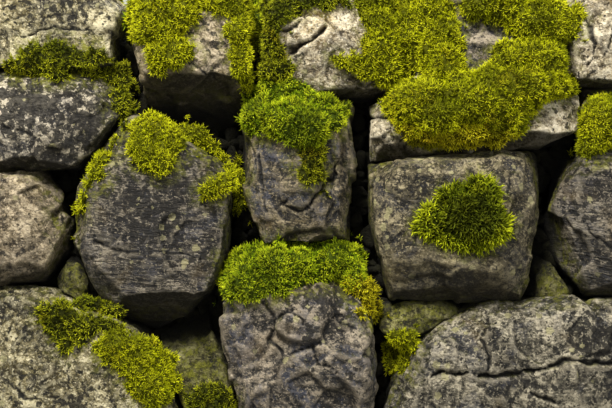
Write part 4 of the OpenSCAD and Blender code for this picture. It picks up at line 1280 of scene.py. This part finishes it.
class WALL_OT_moss(bpy.types.Operator):
    """Grow moss cushions on the ledges of both faces and on the cope"""

    bl_idname = "wall.moss"
    bl_label = "Moss"

    def execute(self, context):
        props = context.scene.dry_stone_wall
        surface = surface_of(context, bpy.data.objects["joint_chips_front"])
        tuft = new_object("moss_tuft", tuft_mesh())
        scatter_nodes("Moss Tufts", tuft, True, (0.5, 0.5, 3.1))
        density = props.moss_density * 1.0
        for cushions, towards, start, spacing, coarse, dense in SETS:
            for k, (name, node, look, thick, size, outline) in enumerate(cushions):
                outline = grid_points(outline)
                rng = random.Random(100 + k)
                pts, edge = scattered(outline, spacing, rng)
                starts = [start(p[0] * GRID, p[1] * GRID) for p in pts]
                radii = radii_of(pts, edge, thick, k, rng)
                mesh = cushion(name, surface, towards, outline, starts, radii,
                               props.moss_grid * coarse, k)
                mesh = set_out(
                    mesh, "Moss Tufts", Density=density * dense, Size=size / 1000, Seed=k)
                ob = covered(name, mesh, "Moss " + look)
                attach(ob, "root")
                if node:
                    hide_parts(node)
        bpy.data.objects.remove(tuft)
        return {"FINISHED"}


# Colour and strength of the backdrop, the strength of the room's own light and its colour, the
# floor as it lights the wall, and how far off in metres the floor starts and ends to fade
BACKDROP, BACKDROP_LEVEL = (0.80, 0.80, 0.79, 1), 0.92
ROOM, ROOM_LIGHT = (0.94, 0.97, 1.0, 1), 0.17
FLOOR_BOUNCE = (0.22, 0.22, 0.21, 1)
FADE_FROM, FADE_TO = 1.3, 3.6
# Lamps: name, place, aim, size in metres, power in watts and colour
LAMPS = (
    ("Key", (-0.9, -2.2, 3.7), (0, -0.2, 0.5), 1.5, 288, (1.0, 0.98, 0.94)),
    ("Fill", (2.6, -2.4, 1.6), (0, -0.2, 0.5), 2.4, 34, (0.94, 0.97, 1.0)),
    ("Back", (0.6, 3.2, 3.0), (0, 0.2, 0.5), 2.6, 90, (1.0, 1.0, 1.0)),
)
CAMERA_AT, CAMERA_LENS = (0, -2.49, 0.604), 64.7


def background_rays(g):
    """1 for the rays that show the background: to the camera, in gloss and through glass."""
    path = g.add("ShaderNodeLightPath").outputs
    return g.larger(g.larger(path["Is Camera Ray"], path["Is Glossy Ray"]),
                    path["Is Transmission Ray"])


class WALL_OT_stage(bpy.types.Operator):
    """Set the floor, backdrop, lights and camera"""

    bl_idname = "wall.stage"
    bl_label = "Studio"

    def execute(self, context):
        scene = context.scene
        bm = bmesh.new()
        bmesh.ops.create_grid(bm, x_segments=1, y_segments=1, size=9.0)
        mesh = mesh_of(bm, "studio_floor")
        g, at = material_of("Studio Floor")
        paint = (*scene.dry_stone_wall.floor_colour, 1)
        tone = g.mix(g.noise(at, 3.0, 3.0), paint, darker(paint, 0.97))
        seen = background_rays(g)
        floor = g.add("ShaderNodeBsdfPrincipled",
                      {"Base Color": g.mix(seen, FLOOR_BOUNCE, tone), "Roughness": 0.9})
        far = g.add("ShaderNodeVectorMath", {0: at}, operation="LENGTH").outputs["Value"]
        fade = g.times(g.range(far, FADE_FROM, FADE_TO), seen)
        haze = g.add("ShaderNodeEmission", {"Color": BACKDROP, "Strength": BACKDROP_LEVEL})
        faded = g.add("ShaderNodeMixShader", {0: fade, 1: floor.outputs[0], 2: haze.outputs[0]})
        g.add("ShaderNodeOutputMaterial", {"Surface": faded.outputs[0]})
        mesh.materials.append(bpy.data.materials["Studio Floor"])
        new_object("studio_floor", mesh)

        world = bpy.data.worlds.new("Studio")
        world.use_nodes = True
        world.node_tree.nodes.clear()
        g = Graph(world.node_tree)
        seen = background_rays(g)
        back = g.add("ShaderNodeBackground", {
            "Color": g.mix(seen, ROOM, BACKDROP),
            "Strength": g.plus(g.times(seen, BACKDROP_LEVEL - ROOM_LIGHT), ROOM_LIGHT),
        })
        g.add("ShaderNodeOutputWorld", {"Surface": back.outputs[0]})
        scene.world = world
        for name, at, to, size, power, colour in LAMPS:
            data = bpy.data.lights.new(name, "AREA")
            data.shape = "DISK"
            data.size, data.energy, data.color = size, power, colour
            lamp = bpy.data.objects.new(name, data)
            scene.collection.objects.link(lamp)
            lamp.location = at
            lamp.rotation_euler = (Vector(to) - Vector(at)).to_track_quat("-Z", "Y").to_euler()

        cam = bpy.data.cameras.new("Camera")
        cam.sensor_width = 36
        cam.lens = CAMERA_LENS
        ob = bpy.data.objects.new("Camera", cam)
        scene.collection.objects.link(ob)
        ob.location = CAMERA_AT
        ob.rotation_euler = (math.radians(90), 0, 0)
        scene.camera = ob
        scene.view_settings.view_transform = "Standard"
        return {"FINISHED"}


class WALL_PT_panel(bpy.types.Panel):
    """Sizes and steps of the wall"""

    bl_idname = "WALL_PT_panel"
    bl_label = "Dry Stone Wall"
    bl_space_type = "VIEW_3D"
    bl_region_type = "UI"
    bl_category = "Dry Stone Wall"

    def draw(self, context):
        for key in WallSettings.__annotations__:
            self.layout.prop(context.scene.dry_stone_wall, key)
        for cls in STEPS:
            self.layout.operator(cls.bl_idname)


STEPS = (WALL_OT_materials, WALL_OT_front_stones, WALL_OT_outer_stones, WALL_OT_hearting,
         WALL_OT_chips, WALL_OT_moss, WALL_OT_stage)


def register():
    for cls in (WallSettings, *STEPS, WALL_PT_panel):
        bpy.utils.register_class(cls)
    bpy.types.Scene.dry_stone_wall = bpy.props.PointerProperty(type=WallSettings)


def unregister():
    del bpy.types.Scene.dry_stone_wall
    for cls in (WALL_PT_panel, *reversed(STEPS), WallSettings):
        bpy.utils.unregister_class(cls)


def main():
    register()
    bpy.ops.wall.materials()
    bpy.ops.wall.front_stones()
    bpy.ops.wall.outer_stones()
    bpy.ops.wall.hearting()
    bpy.ops.wall.chips()
    bpy.ops.wall.moss()
    bpy.ops.wall.stage()


if __name__ == "__main__":
    main()
